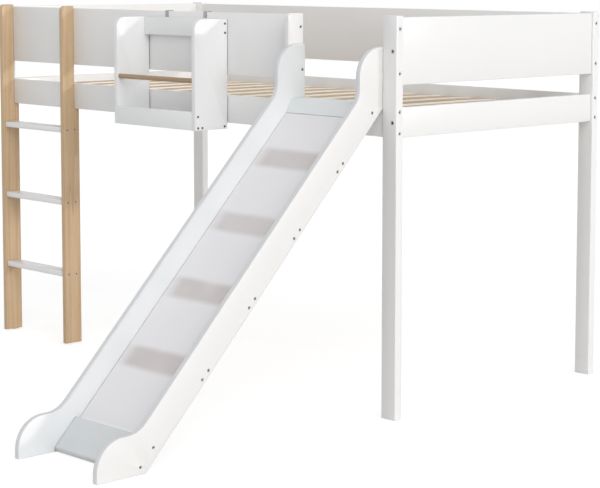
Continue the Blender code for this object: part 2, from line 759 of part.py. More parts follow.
# Hanging shelf, in a frame at its rear bottom middle
def add_shelf_side(name, x, outward, shelf):
    """A side of the shelf with a rounded top front corner, screw seats outside and a dowel socket inside."""
    corners = [
        (-SHELF_DEPTH, 0.0, 0),
        (0.0, 0.0, 0),
        (0.0, SHELF_HEIGHT, 0),
        (-SHELF_DEPTH, SHELF_HEIGHT, SHELF_CORNER),
    ]
    side = add_outline_board(name, corners, SHELF_BOARD, (x, 0, 0), shelf, WHITE_LACQUER)
    seats = [
        (-SHELF_RAIL_THICKNESS / 2, SHELF_HEIGHT - SHELF_RAIL_HEIGHT / 4),
        (-SHELF_RAIL_THICKNESS / 2, SHELF_HEIGHT - SHELF_RAIL_HEIGHT * 3 / 4),
        (-SHELF_DEPTH + SHELF_RAIL_THICKNESS * 2 / 3, SHELF_FRONT_HEIGHT * 3 / 4),
        (-SHELF_DEPTH + SHELF_RAIL_THICKNESS * 2 / 3, SHELF_BOARD / 2),
        (-SHELF_DEPTH + SHELF_RAIL_THICKNESS + SHELF_BOARD * 3 / 4, SHELF_BOARD / 2),
        (-SHELF_BOARD * 3 / 4, SHELF_BOARD / 2),
    ]
    outer = x + outward * SHELF_BOARD / 2
    holes = [((outer, y, z), (-outward, 0, 0), SCREW_SEAT_DIAMETER, SEAT_DEPTH) for y, z in seats]
    inner = x - outward * SHELF_BOARD / 2
    socket = DOWEL_DIAMETER + 2 * FIT_GAP
    dowel_y = -SHELF_DEPTH + DOWEL_SETBACK
    holes.append(((inner, dowel_y, DOWEL_HEIGHT), (outward, 0, 0), socket, DOWEL_SOCKET + FIT_GAP))
    drill(side, holes)


def add_hook(name, x, shelf):
    """A bent steel strip from the shelf's rear rail, over the guard board and down inside it."""
    strip_front = FIT_GAP
    board_front = FRONT_FACE - SHELF_REAR
    board_back = board_front + BOARD_THICKNESS
    bar_bottom = GUARD_TOP - SHELF_BOTTOM + FIT_GAP
    bar_top = bar_bottom + HOOK_STRIP
    outside_end = bar_bottom - HOOK_OUTSIDE_REACH
    inside_end = bar_bottom - HOOK_INSIDE_REACH
    corners = [
        (strip_front, outside_end, 0),
        (strip_front + HOOK_STRIP, outside_end, 0),
        (strip_front + HOOK_STRIP, bar_bottom, 0),
        (board_back + FIT_GAP, bar_bottom, 0),
        (board_back + FIT_GAP, inside_end, 0),
        (board_back + FIT_GAP + HOOK_STRIP, inside_end, 0),
        (board_back + FIT_GAP + HOOK_STRIP, bar_top, HOOK_BEND),
        (strip_front, bar_top, HOOK_BEND),
    ]
    edge = HOOK_STRIP / 8
    add_outline_board(name, corners, HOOK_WIDTH, (x, 0, 0), shelf, DARK_STEEL, edge)


def add_dowel(shelf):
    """The round wooden bar near the shelf's front."""
    length = SHELF_WIDTH - 2 * SHELF_BOARD + 2 * DOWEL_SOCKET - 2 * FIT_GAP
    shape = bmesh.new()
    bmesh.ops.create_cone(
        shape,
        cap_ends=True,
        segments=DOWEL_SIDES,
        radius1=DOWEL_DIAMETER / 2,
        radius2=DOWEL_DIAMETER / 2,
        depth=length,
        matrix=Matrix.Rotation(math.pi / 2, 4, "Y"),
    )
    mesh = bpy.data.meshes.new("shelf_dowel")
    shape.to_mesh(mesh)
    shape.free()
    mesh.shade_smooth()
    mesh.set_sharp_from_angle(angle=SHARP_ANGLE)
    place = (0, -SHELF_DEPTH + DOWEL_SETBACK, DOWEL_HEIGHT)
    new_piece("shelf_dowel", mesh, place, shelf, DOWEL_WOOD)


def add_shelf():
    """The open shelf that hangs on the front guard board and lifts off."""
    shelf = new_empty("hanging_shelf", (SHELF_MIDDLE, SHELF_REAR, SHELF_BOTTOM))
    reach = (SHELF_WIDTH - SHELF_BOARD) / 2
    add_shelf_side("shelf_side_left", -reach, -1, shelf)
    add_shelf_side("shelf_side_right", reach, 1, shelf)
    inside = SHELF_WIDTH - 2 * SHELF_BOARD - 2 * FIT_GAP
    rail_place = (0, -SHELF_RAIL_THICKNESS / 2, SHELF_HEIGHT - SHELF_RAIL_HEIGHT / 2)
    rail_size = (inside, SHELF_RAIL_THICKNESS, SHELF_RAIL_HEIGHT)
    add_board("shelf_top_rail", rail_size, rail_place, shelf, WHITE_LACQUER)
    front_place = (0, -SHELF_DEPTH + SHELF_RAIL_THICKNESS / 2, SHELF_FRONT_HEIGHT / 2)
    front_size = (inside, SHELF_RAIL_THICKNESS, SHELF_FRONT_HEIGHT)
    add_board("shelf_front_board", front_size, front_place, shelf, WHITE_LACQUER)
    bottom_depth = SHELF_DEPTH - SHELF_RAIL_THICKNESS - FIT_GAP
    bottom_place = (0, -bottom_depth / 2, SHELF_BOARD / 2)
    bottom_size = (inside, bottom_depth, SHELF_BOARD)
    add_board("shelf_bottom_board", bottom_size, bottom_place, shelf, WHITE_LACQUER)
    add_dowel(shelf)
    add_hook("shelf_hook_left", HOOK_FROM_SIDE - SHELF_WIDTH / 2, shelf)
    add_hook("shelf_hook_right", SHELF_WIDTH / 2 - HOOK_FROM_SIDE, shelf)


add_posts()
add_frame_boards()
add_opening_upright()
add_bolts()
add_ledges()
add_slats()
add_ladder()
add_slide()
add_shelf()
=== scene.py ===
# %% [markdown]
# # A loft bed with a slide, dressed cell by cell
# The bed is a white lacquered frame on four tall posts. A ladder of oiled wood stands at one end of its long
# side and a slide leaves from the other end, and a small shelf hangs on the guard board between them.
# Every board was modelled before this lesson starts, so the first cell only loads that measured frame. What
# is left is what the eye reads as real: finishes, fasteners, bowed slats, light and a camera.

# %% Load the measured frame
import json
import math

import bpy
import numpy as np
from mathutils import Matrix, Vector

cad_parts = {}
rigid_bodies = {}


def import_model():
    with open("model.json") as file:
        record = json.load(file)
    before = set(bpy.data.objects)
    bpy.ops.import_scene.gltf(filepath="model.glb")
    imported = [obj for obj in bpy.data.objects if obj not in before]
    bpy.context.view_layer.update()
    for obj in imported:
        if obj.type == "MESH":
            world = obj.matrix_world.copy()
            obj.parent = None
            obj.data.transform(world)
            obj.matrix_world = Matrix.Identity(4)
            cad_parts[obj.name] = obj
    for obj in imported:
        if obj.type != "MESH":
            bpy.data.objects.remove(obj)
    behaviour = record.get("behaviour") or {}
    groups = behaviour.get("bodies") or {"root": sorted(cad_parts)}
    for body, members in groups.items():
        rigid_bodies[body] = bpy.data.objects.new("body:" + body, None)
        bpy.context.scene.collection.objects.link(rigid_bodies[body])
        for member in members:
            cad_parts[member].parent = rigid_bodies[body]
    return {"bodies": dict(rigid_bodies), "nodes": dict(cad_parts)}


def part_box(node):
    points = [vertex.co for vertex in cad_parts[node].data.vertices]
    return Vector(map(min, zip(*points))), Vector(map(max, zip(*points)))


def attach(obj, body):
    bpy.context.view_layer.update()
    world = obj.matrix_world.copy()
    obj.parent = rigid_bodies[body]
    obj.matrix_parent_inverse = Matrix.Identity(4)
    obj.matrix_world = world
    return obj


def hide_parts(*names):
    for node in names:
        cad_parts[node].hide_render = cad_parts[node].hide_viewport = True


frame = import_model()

bed_items = set(frame["nodes"].values()) | set(frame["bodies"].values())
for item in [item for item in bpy.data.objects if item not in bed_items]:
    bpy.data.objects.remove(item, do_unlink=True)
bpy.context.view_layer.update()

# %% [markdown]
# ## The camera
# The photograph was taken from the right of the bed, a little above the slats, with a long lens. The place,
# turn and lens below were worked out from the posts, boards and rungs, whose real places are known. A long lens
# from far away keeps the posts nearly parallel, which a short lens close by could not do.

# %% Place the camera
CAMERA_PLACE = (4.84249, -3.89409, 1.35036)
CAMERA_YAW = -0.78914
CAMERA_PITCH = -0.10357
CAMERA_ROLL = 0.00347
CAMERA_LENS = 111.731
CAMERA_SENSOR = 36.0
CAMERA_SHIFT = (-0.09615, -0.135)


def camera_matrix(place, yaw, pitch, roll):
    """The camera looks along (sin yaw cos pitch, cos yaw cos pitch, sin pitch), then rolls about that line."""
    ahead = Vector((math.sin(yaw) * math.cos(pitch), math.cos(yaw) * math.cos(pitch), math.sin(pitch)))
    level = Vector((math.cos(yaw), -math.sin(yaw), 0.0))
    upright = level.cross(ahead)
    right = math.cos(roll) * level + math.sin(roll) * upright
    up = -math.sin(roll) * level + math.cos(roll) * upright
    matrix = Matrix((right, up, -ahead)).transposed().to_4x4()
    matrix.translation = Vector(place)
    return matrix


camera_data = bpy.data.cameras.new("photo_camera")
camera_data.lens = CAMERA_LENS
camera_data.sensor_fit = "HORIZONTAL"
camera_data.sensor_width = CAMERA_SENSOR
camera_data.shift_x, camera_data.shift_y = CAMERA_SHIFT
camera = bpy.data.objects.new("photo_camera", camera_data)
camera.matrix_world = camera_matrix(CAMERA_PLACE, CAMERA_YAW, CAMERA_PITCH, CAMERA_ROLL)
bpy.context.scene.collection.objects.link(camera)
bpy.context.scene.camera = camera
bpy.context.scene.view_settings.view_transform = "Standard"
print("camera", [round(value, 3) for value in camera.location], "lens", camera_data.lens)

# %% [markdown]
# ## Helpers for shader nodes
# A finish is a small graph of nodes. Written out by hand each node takes several lines, so two helpers add a
# node and fill its sockets, by name or by number, with a value or with a link from another node. Three more
# stand for the nodes that come back all the time: a sum, a blend of two colours and a change of range. The last
# two open and use a node group with named sockets, so that an effect such as wood grain is built once and used
# by every finish that needs it, with its own values.


# %% Node helpers
def fill_sockets(tree, node, values):
    """Each value goes into the socket of that name or number. A socket as the value makes a link."""
    for key, value in values.items():
        socket = node.inputs[key]
        if isinstance(value, bpy.types.NodeSocket):
            tree.links.new(value, socket)
        else:
            socket.default_value = value


def add_node(tree, kind, values=None, **settings):
    """A node of a kind, with its settings and its sockets filled."""
    node = tree.nodes.new("ShaderNode" + kind)
    for key, value in settings.items():
        setattr(node, key, value)
    fill_sockets(tree, node, values or {})
    return node


def calculate(tree, operation, *values, clamp=False):
    """One Math node; returns its result."""
    numbered = dict(enumerate(values))
    return add_node(tree, "Math", numbered, operation=operation, use_clamp=clamp).outputs[0]


def blend_colours(tree, share, first, second, blend_type="MIX"):
    """A colour between two, or one laid on the other; returns the result."""
    node = add_node(tree, "Mix", data_type="RGBA", blend_type=blend_type)
    fill_sockets(tree, node, {0: share, 6: first, 7: second})
    return node.outputs[2]


def spread(tree, value, low, high, to_low=0.0, to_high=1.0):
    """A value's range from low to high, carried smoothly to a new range and held at its ends."""
    sockets = {0: value, 1: low, 2: high, 3: to_low, 4: to_high}
    return add_node(tree, "MapRange", sockets, interpolation_type="SMOOTHSTEP").outputs[0]


def new_group(name, inputs, outputs):
    """A node group from inputs (name, kind, default) and outputs (name, kind).

    Returns the group, the sockets that bring its inputs and the node that takes its outputs.
    """
    group = bpy.data.node_groups.new(name, "ShaderNodeTree")
    for label, kind, default in inputs:
        socket = group.interface.new_socket(label, in_out="INPUT", socket_type="NodeSocket" + kind)
        if default is not None:
            socket.default_value = default
    for label, kind in outputs:
        group.interface.new_socket(label, in_out="OUTPUT", socket_type="NodeSocket" + kind)
    ins = group.nodes.new("NodeGroupInput").outputs
    outs = group.nodes.new("NodeGroupOutput")
    return group, ins, outs


def use_group(tree, group, **values):
    """The group as one node of a finish; returns its outputs. An underscore stands for a space in a name."""
    node = tree.nodes.new("ShaderNodeGroup")
    node.node_tree = group
    fill_sockets(tree, node, {key.replace("_", " "): value for key, value in values.items()})
    return node.outputs


helpers = (fill_sockets, add_node, calculate, blend_colours, spread, new_group, use_group)
print("helpers", [helper.__name__ for helper in helpers])

# %% [markdown]
# ## Effects that several finishes share
# Sprayed lacquer is never perfectly even. Seen close it has a fine orange peel, seen from afar a slow change in
# tone, and along each edge it is thinner and rubbed. The first three groups are those. The rounded edge group
# asks Cycles how a small radius would turn the surface, which softens the shading of every edge at once, and
# the difference to the plain normal tells where the edges are. The fourth group finds the narrow corners where
# two boards meet, which the finishes darken as painted shade.


# %% Groups for lacquer and edges
def soft_edge_group():
    """Normal rounded by a radius, and a mask that is 1 on edges: 1 minus the dot of rounded and plain normal."""
    group, ins, outs = new_group(
        "soft edge", [("Radius", "Float", 0.002), ("Gain", "Float", 4.0)], [("Normal", "Vector"), ("Edge", "Float")]
    )
    rounded = add_node(group, "Bevel", {"Radius": ins["Radius"]}, samples=4).outputs["Normal"]
    plain = add_node(group, "NewGeometry").outputs["Normal"]
    agree = add_node(group, "VectorMath", {0: rounded, 1: plain}, operation="DOT_PRODUCT").outputs["Value"]
    apart = calculate(group, "SUBTRACT", 1.0, agree, clamp=True)
    edge = calculate(group, "MULTIPLY", apart, ins["Gain"], clamp=True)
    fill_sockets(group, outs, {"Normal": rounded, "Edge": edge})
    return group


def slow_change_group():
    """Noise at the given size in metres, from 0 to 1, for tone that drifts over a board."""
    group, ins, outs = new_group("slow change", [("Size", "Float", 0.3), ("Seed", "Float", 0.0)], [("Value", "Float")])
    place = add_node(group, "TexCoord").outputs["Object"]
    scale = calculate(group, "DIVIDE", 1.0, ins["Size"])
    values = {"Vector": place, "W": ins["Seed"], "Scale": scale, "Detail": 3.0, "Roughness": 0.5}
    noise = add_node(group, "TexNoise", values, noise_dimensions="4D").outputs[0]
    fill_sockets(group, outs, {"Value": spread(group, noise, 0.3, 0.7)})
    return group


def orange_peel_group():
    """Height of sprayed lacquer in metres: small rounded bumps on long shallow waves."""
    group, ins, outs = new_group("orange peel", [("Bump Size", "Float", 0.002)], [("Height", "Float")])
    place = add_node(group, "TexCoord").outputs["Object"]
    scale = calculate(group, "DIVIDE", 1.0, ins["Bump Size"])
    fine = add_node(group, "TexNoise", {"Vector": place, "Scale": scale, "Detail": 1.0}).outputs[0]
    wave = add_node(group, "TexNoise", {"Vector": place, "Scale": 9.0, "Detail": 0.0}).outputs[0]
    fine_height = calculate(group, "MULTIPLY", fine, 0.000004)
    wave_height = calculate(group, "MULTIPLY", wave, 0.00025)
    fill_sockets(group, outs, {"Height": calculate(group, "ADD", fine_height, wave_height)})
    return group


def joint_shade_group():
    """A mask for painted shade where boards meet: 1 where nearly all directions are blocked within the reach."""
    group, ins, outs = new_group("joint shade", [("Reach", "Float", 0.006)], [("Shade", "Float")])
    open_share = add_node(group, "AmbientOcclusion", {"Distance": ins["Reach"]}, samples=8).outputs["AO"]
    fill_sockets(group, outs, {"Shade": spread(group, open_share, 0.62, 0.22)})
    return group


SOFT_EDGE = soft_edge_group()
SLOW_CHANGE = slow_change_group()
ORANGE_PEEL = orange_peel_group()
JOINT_SHADE = joint_shade_group()
print("groups", [group.name for group in (SOFT_EDGE, SLOW_CHANGE, ORANGE_PEEL, JOINT_SHADE)])

# %% [markdown]
# ## Wood grain
# Wood has three scales: growth rings, which a saw cuts into long stripes and arches, fibres a fraction of a
# millimetre wide, and pores. All of them run along the board. The group takes a coordinate whose Z is the
# grain direction and squeezes it, so that every pattern is drawn out along Z. Because it works in space and not
# on a picture, two boards cut from the same group never show the same figure.


# %% Group for wood grain
def wood_grain_group():
    """Rings: bands of a bent distance across the grain. Fibres: noise squeezed along Z. Pores: its dark tail."""
    inputs = [("Vector", "Vector", None), ("Ring Width", "Float", 0.012), ("Stretch", "Float", 0.05)]
    outputs = [("Rings", "Float"), ("Fibres", "Float"), ("Pores", "Float"), ("Height", "Float")]
    group, ins, outs = new_group("wood grain", inputs, outputs)
    squeeze = add_node(group, "CombineXYZ", {"X": 1.0, "Y": 1.0, "Z": ins["Stretch"]}).outputs[0]
    drawn = add_node(group, "VectorMath", {0: ins["Vector"], 1: squeeze}, operation="MULTIPLY").outputs[0]
    bend = add_node(group, "TexNoise", {"Vector": drawn, "Scale": 16.0, "Detail": 2.0}).outputs[0]
    split = add_node(group, "SeparateXYZ", {0: drawn}).outputs
    across = calculate(group, "ADD", split["X"], calculate(group, "MULTIPLY", split["Y"], 0.6))
    bent = calculate(group, "ADD", across, calculate(group, "MULTIPLY", bend, 0.06))
    turns = calculate(group, "DIVIDE", bent, ins["Ring Width"])
    saw = calculate(group, "FRACT", turns)
    rings = calculate(group, "POWER", saw, 2.5)
    fibre = add_node(group, "TexNoise", {"Vector": drawn, "Scale": 700.0, "Detail": 3.0}).outputs[0]
    streak = add_node(group, "TexNoise", {"Vector": drawn, "Scale": 160.0, "Detail": 2.0}).outputs[0]
    half_fibre, half_streak = [calculate(group, "MULTIPLY", part, 0.5) for part in (fibre, streak)]
    fibres = calculate(group, "ADD", half_fibre, half_streak)
    pores = spread(group, fibre, 0.36, 0.28)
    height = calculate(group, "MULTIPLY", calculate(group, "SUBTRACT", fibres, pores), 0.00008)
    clear_fibres = spread(group, fibres, 0.3, 0.7)
    fill_sockets(group, outs, {"Rings": rings, "Fibres": clear_fibres, "Pores": pores, "Height": height})
    return group


WOOD_GRAIN = wood_grain_group()
print("group", WOOD_GRAIN.name, "sockets", [item.name for item in WOOD_GRAIN.interface.items_tree])

# %% [markdown]
# ## White lacquer
# Most of the bed is board under a satin white lacquer. A single white would look like plastic, so the tone
# drifts a little from board to board, the sheen drifts with it, and the edges are a touch lighter and more worn.
# The orange peel is added as bump on top of the rounded edge normal, and the corners where boards meet take
# painted shade. One recipe makes every white of the bed, and three of them are painted light and shade: the shelf
# takes a lighter, trace cooler copy, and of the slide's two sides the left one takes a lighter, bluer copy and the
# right one a darker copy. Both slide sides have greyish bands glued to their edges.


# %% Finish: white lacquer
def new_finish(name):
    """An empty material; returns it, its tree and its Principled shader."""
    material = bpy.data.materials.new(name)
    material.use_nodes = True
    return material, material.node_tree, material.node_tree.nodes["Principled BSDF"]


def bumped(tree, height, normal, strength):
    """The normal after a height in metres is laid on it."""
    values = {"Height": height, "Normal": normal, "Strength": strength, "Distance": 1.0}
    return add_node(tree, "Bump", values).outputs[0]


LACQUER_SATIN = 0.29
LACQUER_COAT = 0.10
# Painted shade: the grey that corners and gaps found by the joint group are darkened towards, and its share.
LACQUER_PAINTED_SHADE = (0.30, 0.29, 0.28, 1)
PAINTED_SHADE_SHARE = 0.6
SLIDE_BAND_TONE = (0.755, 0.77, 0.785, 1)


def cut_edges(tree):
    """1 on the faces that aren't square to X: the narrow cut edges of a side board."""
    facing = add_node(tree, "NewGeometry").outputs["Normal"]
    sideways = calculate(tree, "ABSOLUTE", add_node(tree, "SeparateXYZ", {0: facing}).outputs["X"])
    return spread(tree, sideways, 0.4, 0.7, 1.0, 0.0)


def lacquer_finish(name, light, dark, edge_tone, coat=LACQUER_COAT, reach=0.006, band_tone=None, band=cut_edges):
    """Sprayed lacquer from a light and a dark tone of one colour. A band tone covers the part that band() marks."""
    material, tree, shader = new_finish(name)
    edge = use_group(tree, SOFT_EDGE, Radius=0.0016, Gain=5.0)
    drift = use_group(tree, SLOW_CHANGE, Size=0.45, Seed=2.0)["Value"]
    cloud = use_group(tree, SLOW_CHANGE, Size=0.05, Seed=5.0)["Value"]
    body = blend_colours(tree, drift, light, dark)
    if band_tone:
        body = blend_colours(tree, band(tree), body, band_tone)
    wear = calculate(tree, "ADD", 0.25, calculate(tree, "MULTIPLY", cloud, 0.5))
    rubbed = calculate(tree, "MULTIPLY", edge["Edge"], wear)
    # Painted shade: corners and gaps between boards are darkened towards a grey.
    shade = use_group(tree, JOINT_SHADE, Reach=reach)["Shade"]
    shaded = blend_colours(tree, calculate(tree, "MULTIPLY", shade, PAINTED_SHADE_SHARE), body, LACQUER_PAINTED_SHADE)
    colour = blend_colours(tree, rubbed, shaded, edge_tone)
    dull = calculate(tree, "MULTIPLY", cloud, 0.07)
    uneven = calculate(tree, "ADD", dull, calculate(tree, "MULTIPLY", rubbed, 0.2))
    sheen = calculate(tree, "ADD", LACQUER_SATIN, uneven)
    height = use_group(tree, ORANGE_PEEL, Bump_Size=0.0016)["Height"]
    fill_sockets(tree, shader, {
        "Base Color": colour,
        "Roughness": sheen,
        "Normal": bumped(tree, height, edge["Normal"], 0.6),
        "Coat Weight": coat,
        "Coat Roughness": 0.12,
    })
    return material


WHITE_LACQUER = lacquer_finish(
    "finish_white_lacquer", (0.885, 0.885, 0.880, 1), (0.865, 0.867, 0.868, 1), (0.91, 0.91, 0.905, 1)
)
# Painted light and shade: the slide's left side takes a lighter, bluer copy of the white and its right side a darker
# one.
LEFT_LACQUER = lacquer_finish(
    "finish_slide_left_lacquer", (0.885, 0.905, 0.92, 1), (0.87, 0.892, 0.91, 1), (0.90, 0.91, 0.92, 1),
    band_tone=SLIDE_BAND_TONE,
)
RIGHT_LACQUER = lacquer_finish(
    "finish_slide_right_lacquer", (0.84, 0.835, 0.825, 1), (0.825, 0.82, 0.812, 1), (0.87, 0.865, 0.86, 1),
    band_tone=SLIDE_BAND_TONE,
)
# Painted light: the shelf takes a lighter, trace cooler copy of the white.
SHELF_LACQUER = lacquer_finish(
    "finish_shelf_lacquer", (0.905, 0.915, 0.92, 1), (0.89, 0.90, 0.906, 1), (0.92, 0.925, 0.93, 1)
)
LACQUERS = (WHITE_LACQUER, LEFT_LACQUER, RIGHT_LACQUER, SHELF_LACQUER)
print("finishes", [finish.name for finish in LACQUERS])

# %% [markdown]
# ## Wooden finishes
# The ladder's boards are oiled wood of a warm honey tone with the grain upright. The slats are pale birch veneer
# glued in layers, the dowel is a darker turned bar, and the ledges and the slide's battens are raw softwood. One
# recipe serves all of them: light and dark wood mixed by the rings, fibres laid over it, pores darkened. Only
# the direction of the grain, the ring width and the tones differ.

# %% Finish: oiled and raw wood
EDGE_STRIPE = "edge_stripe"
# Painted shade: the dark brown that the wood's corners and gaps are darkened towards.
WOOD_PAINTED_SHADE = (0.10, 0.075, 0.05, 1)
GRAIN_TURN = {"Z": (0.0, 0.0, 0.0), "Y": (math.pi / 2, 0.0, 0.0), "X": (0.0, math.pi / 2, 0.0)}


def wood_finish(name, light, dark, grain, ring_width, ring_share, fibre_share, roughness, stretch=0.05, pale_edge_and_light=None):
    """Wood whose grain runs along an axis. The shares say how much rings and fibres darken it."""
    material, tree, shader = new_finish(name)
    place = add_node(tree, "TexCoord").outputs["Object"]
    turned = add_node(tree, "Mapping", {"Vector": place, "Rotation": GRAIN_TURN[grain]}).outputs[0]
    wood = use_group(tree, WOOD_GRAIN, Vector=turned, Ring_Width=ring_width, Stretch=stretch)
    edge = use_group(tree, SOFT_EDGE, Radius=0.0018, Gain=4.0)
    drift = use_group(tree, SLOW_CHANGE, Size=0.25, Seed=8.0)["Value"]
    by_rings = calculate(tree, "MULTIPLY", wood["Rings"], ring_share)
    by_fibres = calculate(tree, "MULTIPLY", wood["Fibres"], fibre_share)
    by_drift = calculate(tree, "MULTIPLY", drift, 0.2)
    share = calculate(tree, "ADD", calculate(tree, "ADD", by_rings, by_fibres), by_drift, clamp=True)
    body = blend_colours(tree, share, light, dark)
    pored = blend_colours(tree, calculate(tree, "MULTIPLY", wood["Pores"], 0.35), body, dark, "MULTIPLY")
    # Painted shade in the corners and gaps where boards meet.
    shade = use_group(tree, JOINT_SHADE, Reach=0.006)["Shade"]
    shaded = blend_colours(tree, calculate(tree, "MULTIPLY", shade, PAINTED_SHADE_SHARE), pored, WOOD_PAINTED_SHADE)
    handled = blend_colours(tree, calculate(tree, "MULTIPLY", edge["Edge"], 0.25), shaded, light)
    # Painted light: the long edges take a near-white tone, part the pale glued layers and part painted light.
    if pale_edge_and_light:
        stripe = add_node(tree, "Attribute", attribute_name=EDGE_STRIPE).outputs["Fac"]
        handled = blend_colours(tree, calculate(tree, "MULTIPLY", stripe, 0.97), handled, pale_edge_and_light)
    sheen = calculate(tree, "ADD", roughness, calculate(tree, "MULTIPLY", wood["Fibres"], 0.12))
    fill_sockets(tree, shader, {
        "Base Color": handled,
        "Roughness": sheen,
        "Normal": bumped(tree, wood["Height"], edge["Normal"], 0.8),
    })
    return material


LADDER_WOOD = wood_finish(
    "finish_ladder_wood", (0.68, 0.495, 0.315, 1), (0.485, 0.33, 0.182, 1), "Z", 0.011, 0.45, 0.35, 0.42, 0.035
)
# Painted light: the slats' long edges take a near-white tone.
SLAT_WOOD = wood_finish(
    "finish_slat_wood", (0.61, 0.455, 0.31, 1), (0.43, 0.30, 0.185, 1), "Y", 0.016, 0.35, 0.35, 0.45,
    pale_edge_and_light=(0.985, 0.915, 0.79, 1),
)
LEDGE_WOOD = wood_finish(
    "finish_ledge_wood", (0.72, 0.56, 0.38, 1), (0.55, 0.39, 0.23, 1), "X", 0.010, 0.45, 0.35, 0.55
)
DOWEL_WOOD = wood_finish(
    "finish_dowel_wood", (0.455, 0.315, 0.185, 1), (0.315, 0.195, 0.105, 1), "X", 0.006, 0.4, 0.4, 0.40
)
print("wood", [finish.name for finish in (LADDER_WOOD, SLAT_WOOD, LEDGE_WOOD, DOWEL_WOOD)])

# %% [markdown]
# ## The sliding sheet
# The sheet is a thin milky laminate. Four battens hold it from behind, and where one touches it the sheet looks
# browner, with soft borders. Light could be sent through a translucent shader, but a band whose strength follows
# the distance to each batten's middle looks the same, is quick, and survives the export. The distance is taken
# along the slope, in the same object coordinates that the battens were placed in. Every place on the slide is
# measured in the same way here: along the slope from the point where its sides bear on the rail, and square to it.

# %% Measure the slope and the battens
SLOPE_ANGLE = math.radians(46.1)
DOWN_SLOPE = np.array([-math.cos(SLOPE_ANGLE), -math.sin(SLOPE_ANGLE)])
OFF_SLOPE = np.array([-math.sin(SLOPE_ANGLE), math.cos(SLOPE_ANGLE)])
BEARING = np.array([0.05695, 0.9433])
SHEET_ENDS = (0.0692, 1.2140)
BATTEN_NAMES = [f"slide_batten_{number}" for number in (1, 2, 3, 4)]


def slope_point(along, above):
    """A point (y, z) of the slide, along the slope from where its sides bear on the rail, and square to it."""
    return BEARING + along * DOWN_SLOPE + above * OFF_SLOPE


def middle(node):
    """The middle of a node's box."""
    low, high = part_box(node)
    return (low + high) / 2


batten_places = [float(np.dot(DOWN_SLOPE, [middle(name).y, middle(name).z])) for name in BATTEN_NAMES]
upper_joint, lower_joint = [float(np.dot(DOWN_SLOPE, slope_point(along, 0.0))) for along in SHEET_ENDS]
sheet_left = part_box("slide_sheet")[0].x
print("battens down the slope", [round(place, 3) for place in batten_places])
print("sheet from", round(upper_joint, 3), "to", round(lower_joint, 3))


# %% Finish: milky laminate
SHEET_MILK = ((0.915, 0.905, 0.925, 1), (0.89, 0.88, 0.90, 1))
SHEET_BAND = (0.645, 0.60, 0.585, 1)
# Painted reflection and painted shade: the pale line's colour, then the colour of the dark line and the corners.
SHEET_PAINTED_REFLECTION = (0.97, 0.975, 0.98, 1)
SHEET_PAINTED_SHADE = (0.24, 0.235, 0.24, 1)
BAND_BORDER = (0.022, 0.046)
LEFT_FADE = (0.004, 0.055)
# Half widths of the painted shadow line and the painted reflection line.
PAINTED_SHADOW_BORDER = (0.0012, 0.0034)
PAINTED_REFLECTION_BORDER = (0.003, 0.005)


def down_the_slope(tree, place):
    """How far down the slope a place lies: its (y, z) dotted with the slope's own direction."""
    axis = (0.0, *DOWN_SLOPE)
    return add_node(tree, "VectorMath", {0: place, 1: axis}, operation="DOT_PRODUCT").outputs["Value"]


def gap_between(tree, value, other):
    """The distance between two values."""
    return calculate(tree, "ABSOLUTE", calculate(tree, "SUBTRACT", value, other))


